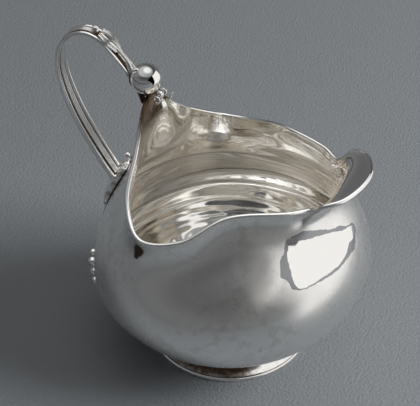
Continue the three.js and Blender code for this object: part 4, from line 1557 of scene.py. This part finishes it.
@dataclass
class Leaf:
    """The leaf under the foot of the handle, its tail, and the berried sprays beside it."""

    bowl: Bowl
    top: float = 60.6
    length: float = 18.5
    half_width: float = 4.2
    thickness: float = 2.4
    edge_drop: float = 0.3
    lobes: int = 4
    lobe_depth: float = 1.0
    bead_radius: float = 1.15
    tail_length: float = 17.0
    tail_half_width: float = 2.4
    tail_thickness: float = 1.1
    spray_reach: float = 16.8
    spray_drop: float = 11.1
    spray_radius: float = 0.6
    berry_radii: tuple[float, ...] = (1.0, 1.25, 1.4, 1.2)
    berry_swell: float = 1.35
    berry_sides: tuple[float, ...] = (10.4, 12.6, 13.8, 17.0)
    berry_heights: tuple[float, ...] = (27.8, 26.2, 23.6, 23.0)
    gap: float = 0.3
    spray_course: tuple[tuple[float, float], ...] = (
        (0.2, 0.0), (0.31, -1.0), (0.43, -2.6), (0.57, -5.2), (0.68, -8.3), (0.83, -10.5), (1.0, -10.7))
    skirt: tuple[tuple[float, float], ...] = (
        (1.0, 0.76), (1.0, 0.52), (0.97, 0.34), (0.90, 0.24), (0.86, 0.12), (0.84, 0.0))
    tail_section: tuple[tuple[float, float], ...] = (
        (-1.0, 0.25), (-0.6, 0.8), (-0.15, 0.75), (0.0, 1.15), (0.15, 0.75), (0.6, 0.8), (1.0, 0.25))
    vein_place: float = 0.14
    vein_slant: float = 0.9

    def build(self, bench: Bench) -> None:
        """Makes the leaf and what grows from it.

        Args:
            bench: Where they are made.
        """
        self._plate(bench)
        self._tail(bench)
        knob = self.bowl.on_back(np.zeros(1), np.array([self.top + self.bead_radius + 0.2 * self.gap]),
                                 self.bead_radius + 3 * self.gap)
        bench.beads("leaf_knob", knob, np.array([self.bead_radius]), 600.0, 0.15, 2.0, "leaf_top_bead")
        foot = self.top - self.length - self.spray_drop
        course = Spline([(share * self.spray_reach, foot + drop) for share, drop in self.spray_course])
        t = np.linspace(0, 1, 90)
        side, height = course.at_share(t).T
        for hand in Hand:
            line = self.bowl.on_back(hand.value * side, height, self.spray_radius + 0.2 * self.gap)
            bench.wire(f"spray_stalk_{hand.word}", line, self.spray_radius * (1 - 0.3 * t), Slot.WORN,
                       f"spray_{hand.word}", finish="relief_silver", tarnish=0.35)
            sizes = np.array(self.berry_radii)
            spots = self.bowl.on_back(hand.value * np.array(self.berry_sides), np.array(self.berry_heights),
                                      sizes + self.gap)
            bench.beads(f"spray_berries_{hand.word}", spots, self.berry_swell * sizes, 420.0, 0.30, 4.0,
                        *(f"berry_{hand.word}_{k + 1}" for k in range(len(sizes))))

    def _plate(self, bench: Bench) -> None:
        """Makes the scalloped plate, undercut along its edge.

        Args:
            bench: Where it is made.
        """
        t = np.linspace(0.012, 0.988, 150)
        lobe = np.abs(np.sin(math.pi * self.lobes * t)) ** 0.7
        taper = np.minimum(1.0, 0.35 + 3.2 * np.sin(math.pi * t))
        half = (self.half_width - self.lobe_depth + self.lobe_depth * lobe) * taper
        height = np.linspace(self.top, self.top - self.length, len(t))
        ends = np.minimum(np.minimum(1.0, 0.5 + 2.5 * t), 0.1 + 4.2 * (1.0 - t))
        v = np.linspace(-1.0, 1.0, 41)
        vein = 0.10 * bell(v, 0.06) - 0.05 * bell(np.abs(v) - self.vein_place, 0.06)
        wave = np.cos(2 * math.pi * (self.lobes * t[:, None] - self.vein_slant * np.abs(v)))
        side_vein = 0.05 * wave * np.abs(v)
        crown = 1.0 - self.edge_drop * v * v + vein + side_vein - 0.02
        top = self.gap + self.thickness * crown * ends[:, None]
        skirt = np.array(self.skirt)
        edge = self.gap + self.thickness * (1.0 - self.edge_drop) * ends
        across = np.concatenate([v, skirt[:, 0], np.linspace(0.8, -0.8, 9), -skirt[::-1, 0]])
        down = np.concatenate([top, edge[:, None] * skirt[:, 1], np.zeros((len(t), 9)),
                               edge[:, None] * skirt[::-1, 1]], axis=1)
        rings = self.bowl.on_back(half[:, None] * across, height[:, None], down)
        groove = 0.55 * bell(np.abs(v) - self.vein_place, 0.07) + 0.35 * smooth(-wave) * np.abs(v)
        # Painted shade: the lower part of the plate's undercut edge is browned, standing in for the shade in
        # the gap against the bowl; the vein grooves above are oxide.
        under = np.broadcast_to(smooth((0.30 - skirt[:, 1]) / 0.14), (len(t), len(skirt)))
        brown = np.concatenate([groove, under, np.ones((len(t), 9)), under[:, ::-1]], axis=1)
        plate = bench.skin("leaf_scallop", rings, tarnish=np.clip(brown, 0, 1))
        bench.finish(plate, "relief_silver", Slot.WORN, "leaf_plate")

    def _tail(self, bench: Bench) -> None:
        """Makes the leaf's tail, with a midrib.

        Args:
            bench: Where it is made.
        """
        t = np.linspace(0.03, 0.985, 80)
        half = self.tail_half_width * np.sin(math.pi * t ** 0.7) + 0.12
        start = self.top - self.length
        height = np.linspace(start, start - self.gap - self.tail_length, len(t))
        swell = self.tail_thickness * (0.35 + 0.65 * np.sin(math.pi * t))
        v, rise = Spline(self.tail_section).at(np.linspace(0, 1, 41)).T
        face = self.bowl.on_back(half[:, None] * v, height[:, None], self.gap + rise * swell[:, None])
        under = self.bowl.on_back(half[:, None] * v[::-1], height[:, None], np.zeros((len(t), len(v))))
        brown = 0.25 + 0.6 * bell(np.abs(v) - 0.17, 0.08) + 0.5 * smooth((np.abs(v) - 0.8) / 0.2)
        brown = np.broadcast_to(np.concatenate([brown, np.ones(len(v))]), (len(t), 2 * len(v)))
        rings = np.concatenate([face, under], axis=1)
        tail = bench.skin("leaf_tail_blade", rings, tarnish=np.clip(brown, 0, 1))
        bench.finish(tail, "relief_silver", Slot.OXIDISED, "leaf_tail")


@dataclass(frozen=True)
class Card:
    """A bright card that stands on the table at the right, with corners as places along Y and heights."""

    name: str
    corners: tuple[tuple[float, float], ...]
    reach: float = 0.17
    glow: float = 0.88
    white: Colour = (1.0, 0.99, 0.97)

    def stand(self) -> bpy.types.Object:
        """Stands the card up.

        Returns:
            The card, which only reflections show.
        """
        mesh = bpy.data.meshes.new(self.name)
        mesh.from_pydata([(self.reach, y, z) for y, z in self.corners], [],
                         [tuple(range(len(self.corners)))[::-1]])
        material, graph = blank(self.name)
        light = graph.node("ShaderNodeEmission", None, {"Color": (*self.white, 1.0), "Strength": self.glow})
        graph.node("ShaderNodeOutputMaterial", None, {"Surface": light})
        mesh.materials.append(material)
        card = placed(self.name, mesh)
        card.visible_camera = card.visible_diffuse = card.visible_shadow = False
        return card


@dataclass(frozen=True)
class Softbox:
    """A soft light that faces the creamer, placed in degrees from the spout and the table, and in metres."""

    name: str
    azimuth: float
    elevation: float
    distance: float
    wide: float
    high: float
    glow: float
    lit: Lit
    lift: float = 0.05

    def hang(self) -> bpy.types.Object:
        """Hangs the light.

        Returns:
            The light.
        """
        spot = heading(self.azimuth, self.elevation) * self.distance
        data = bpy.data.lights.new(self.name, "AREA")
        data.shape = "RECTANGLE"
        data.size, data.size_y = self.wide, self.high
        data.energy = self.glow * math.pi * self.wide * self.high
        light = placed(self.name, data)
        light.location = spot + Vector((0.0, 0.0, self.lift))
        light.rotation_mode = "QUATERNION"
        light.rotation_quaternion = (-spot).to_track_quat("-Z", "Y")
        light.visible_camera = False
        light.visible_diffuse, light.visible_glossy = self.lit is Lit.TABLE, self.lit is Lit.SILVER
        return light


@dataclass
class Studio:
    """The table, the soft lights and the camera."""

    target: tuple[float, float, float] = (0.0, 0.0, 45.0)
    azimuth: float = math.radians(22.0)
    elevation: float = 0.68515
    roll: float = math.radians(-0.348)
    distance: float = 563.4
    pixels_per_mm: float = 3.13556
    centre: tuple[float, float] = (210.0, 203.0)
    aim: tuple[float, float] = (230.04, 223.42)
    width: float = 420.0
    sensor: float = 36.0
    table_half: float = 6.0
    mirror_bounces: int = 14
    room_glow: float = 0.16
    room_dim: float = 0.11
    ceiling_glow: float = 0.26
    room_white: Colour = (0.97, 0.99, 1.0)
    cloths: tuple[tuple[float, ...], ...] = ((175.0, 62.0, 0.5, 0.15), (60.0, 77.0, 0.86, 0.45))
    cards: tuple[Card, ...] = (
        Card("right_card", ((-0.02, 0.0), (0.30, 0.0), (0.30, 0.24), (-0.02, 0.24))),
        Card("front_card", ((-0.08, 0.0), (-0.02, 0.0), (-0.02, 0.24), (-0.22, 0.24), (-0.28, 0.20),
                            (-0.14, 0.12), (-0.09, 0.06))))
    softboxes: tuple[Softbox, ...] = (
        Softbox("wide_light", 90.0, 70.0, 0.90, 1.50, 1.20, 0.50, Lit.SILVER),
        Softbox("key_light", 16.0, 29.0, 1.20, 0.68, 0.68, 8.0, Lit.TABLE),
        Softbox("fill_light", 110.0, 80.0, 1.10, 1.20, 1.20, 0.24, Lit.TABLE),
        Softbox("front_light", -65.0, 50.0, 1.00, 0.80, 0.80, 0.18, Lit.TABLE))
    off_ball: tuple[str, ...] = ("front_card", "wide_light")

    def build(self, bench: Bench) -> None:
        """Sets up the studio.

        Args:
            bench: The bench whose axis the camera is placed from.
        """
        self._camera(bench)
        self._table()
        self._lights()

    def _camera(self, bench: Bench) -> None:
        """Places the camera at the photograph's viewing angle.

        Args:
            bench: The bench whose axis it is placed from.
        """
        right = Vector((math.cos(self.azimuth), math.sin(self.azimuth), 0.0))
        toward = Vector((math.sin(self.azimuth), -math.cos(self.azimuth), 0.0))
        back = toward * math.cos(self.elevation) + Vector((0, 0, math.sin(self.elevation)))
        up = back.cross(right)
        across = right * math.cos(self.roll) + up * math.sin(self.roll)
        upright = up * math.cos(self.roll) - right * math.sin(self.roll)
        spot = (Vector(self.target) - across * (self.aim[0] - self.centre[0]) / self.pixels_per_mm
                + upright * (self.aim[1] - self.centre[1]) / self.pixels_per_mm + back * self.distance)
        data = bpy.data.cameras.new("camera")
        data.sensor_fit = "HORIZONTAL"
        data.sensor_width = self.sensor
        data.lens = self.pixels_per_mm * self.distance / self.width * self.sensor
        data.clip_start, data.clip_end = 0.01, 50.0
        camera = placed("camera", data)
        camera.matrix_world = Matrix.Translation(spot * MM + Vector(bench.axis)) @ Matrix(
            (across, upright, back)).transposed().to_4x4()
        bpy.context.scene.camera = camera

    def _table(self) -> None:
        """Lays the table top."""
        mesh = bpy.data.meshes.new("table_top")
        far = self.table_half
        mesh.from_pydata([(-far, -far, 0), (far, -far, 0), (far, far, 0), (-far, far, 0)], [], [(0, 1, 2, 3)])
        mesh.materials.append(TableFinish().material())
        placed("table_top", mesh)

    def _lights(self) -> None:
        """Hangs the soft lights and sets the pale cloth of the room round them."""
        self._room()
        lights = [*(card.stand() for card in self.cards), *(box.hang() for box in self.softboxes)]
        for light in lights:
            if light.name in self.off_ball:
                self._hide(light, "polished_ball")
        bpy.context.scene.view_settings.view_transform = "Standard"
        bpy.context.scene.cycles.glossy_bounces = self.mirror_bounces
        bpy.context.scene.cycles.max_bounces = self.mirror_bounces

    def _room(self) -> None:
        """Sets the room: grey, dim behind the camera, paler to the left, the back and the right."""
        world = bpy.data.worlds.new("studio")
        world.use_nodes = True
        bpy.context.scene.world = world
        graph = Graph(world.node_tree)
        way = graph.node("ShaderNodeTexCoord", output="Generated")
        height = graph.node("ShaderNodeSeparateXYZ", None, {"Vector": way}, "Z")
        glow = (height.eased(0.0, 0.65) * -self.room_dim + height.eased(0.62, 0.76) * self.ceiling_glow
                + self.room_glow)
        for azimuth, elevation, low, strength in self.cloths:
            side = graph.node("ShaderNodeVectorMath", {"operation": "DOT_PRODUCT"}, {
                0: way, 1: heading(azimuth, elevation)}, "Value")
            glow = glow + side.eased(low, 0.97) * strength
        light = graph.node("ShaderNodeBackground", None, {"Color": (*self.room_white, 1.0), "Strength": glow})
        graph.node("ShaderNodeOutputWorld", None, {"Surface": light})
        world.cycles_visibility.diffuse = False

    def _hide(self, light: bpy.types.Object, name: str) -> None:
        """Keeps the light of a card or a softbox off one piece.

        Args:
            light: The card or the softbox.
            name: The piece's name.
        """
        seen_by = bpy.data.collections.new(light.name + "_seen_by")
        for piece in [o for o in bpy.data.objects if o.type == "MESH" and o.name != name]:
            seen_by.objects.link(piece)
        light.light_linking.receiver_collection = seen_by


def main() -> None:
    """Builds the creamer's pieces in order, then the studio."""
    logging.basicConfig(level=logging.INFO, format="%(name)s %(message)s")
    bench = Bench()
    bowl = Bowl()
    ball = Ball(bowl)
    handle = Handle(bowl, ball)
    bud = Bud(handle)
    bowl.build(bench)
    Foot(bowl).build(bench)
    ball.build(bench)
    handle.build(bench, bud.end)
    bud.build(bench)
    Sprig(ball).build(bench)
    Leaf(bowl).build(bench)
    Studio().build(bench)


if __name__ == "__main__":
    main()
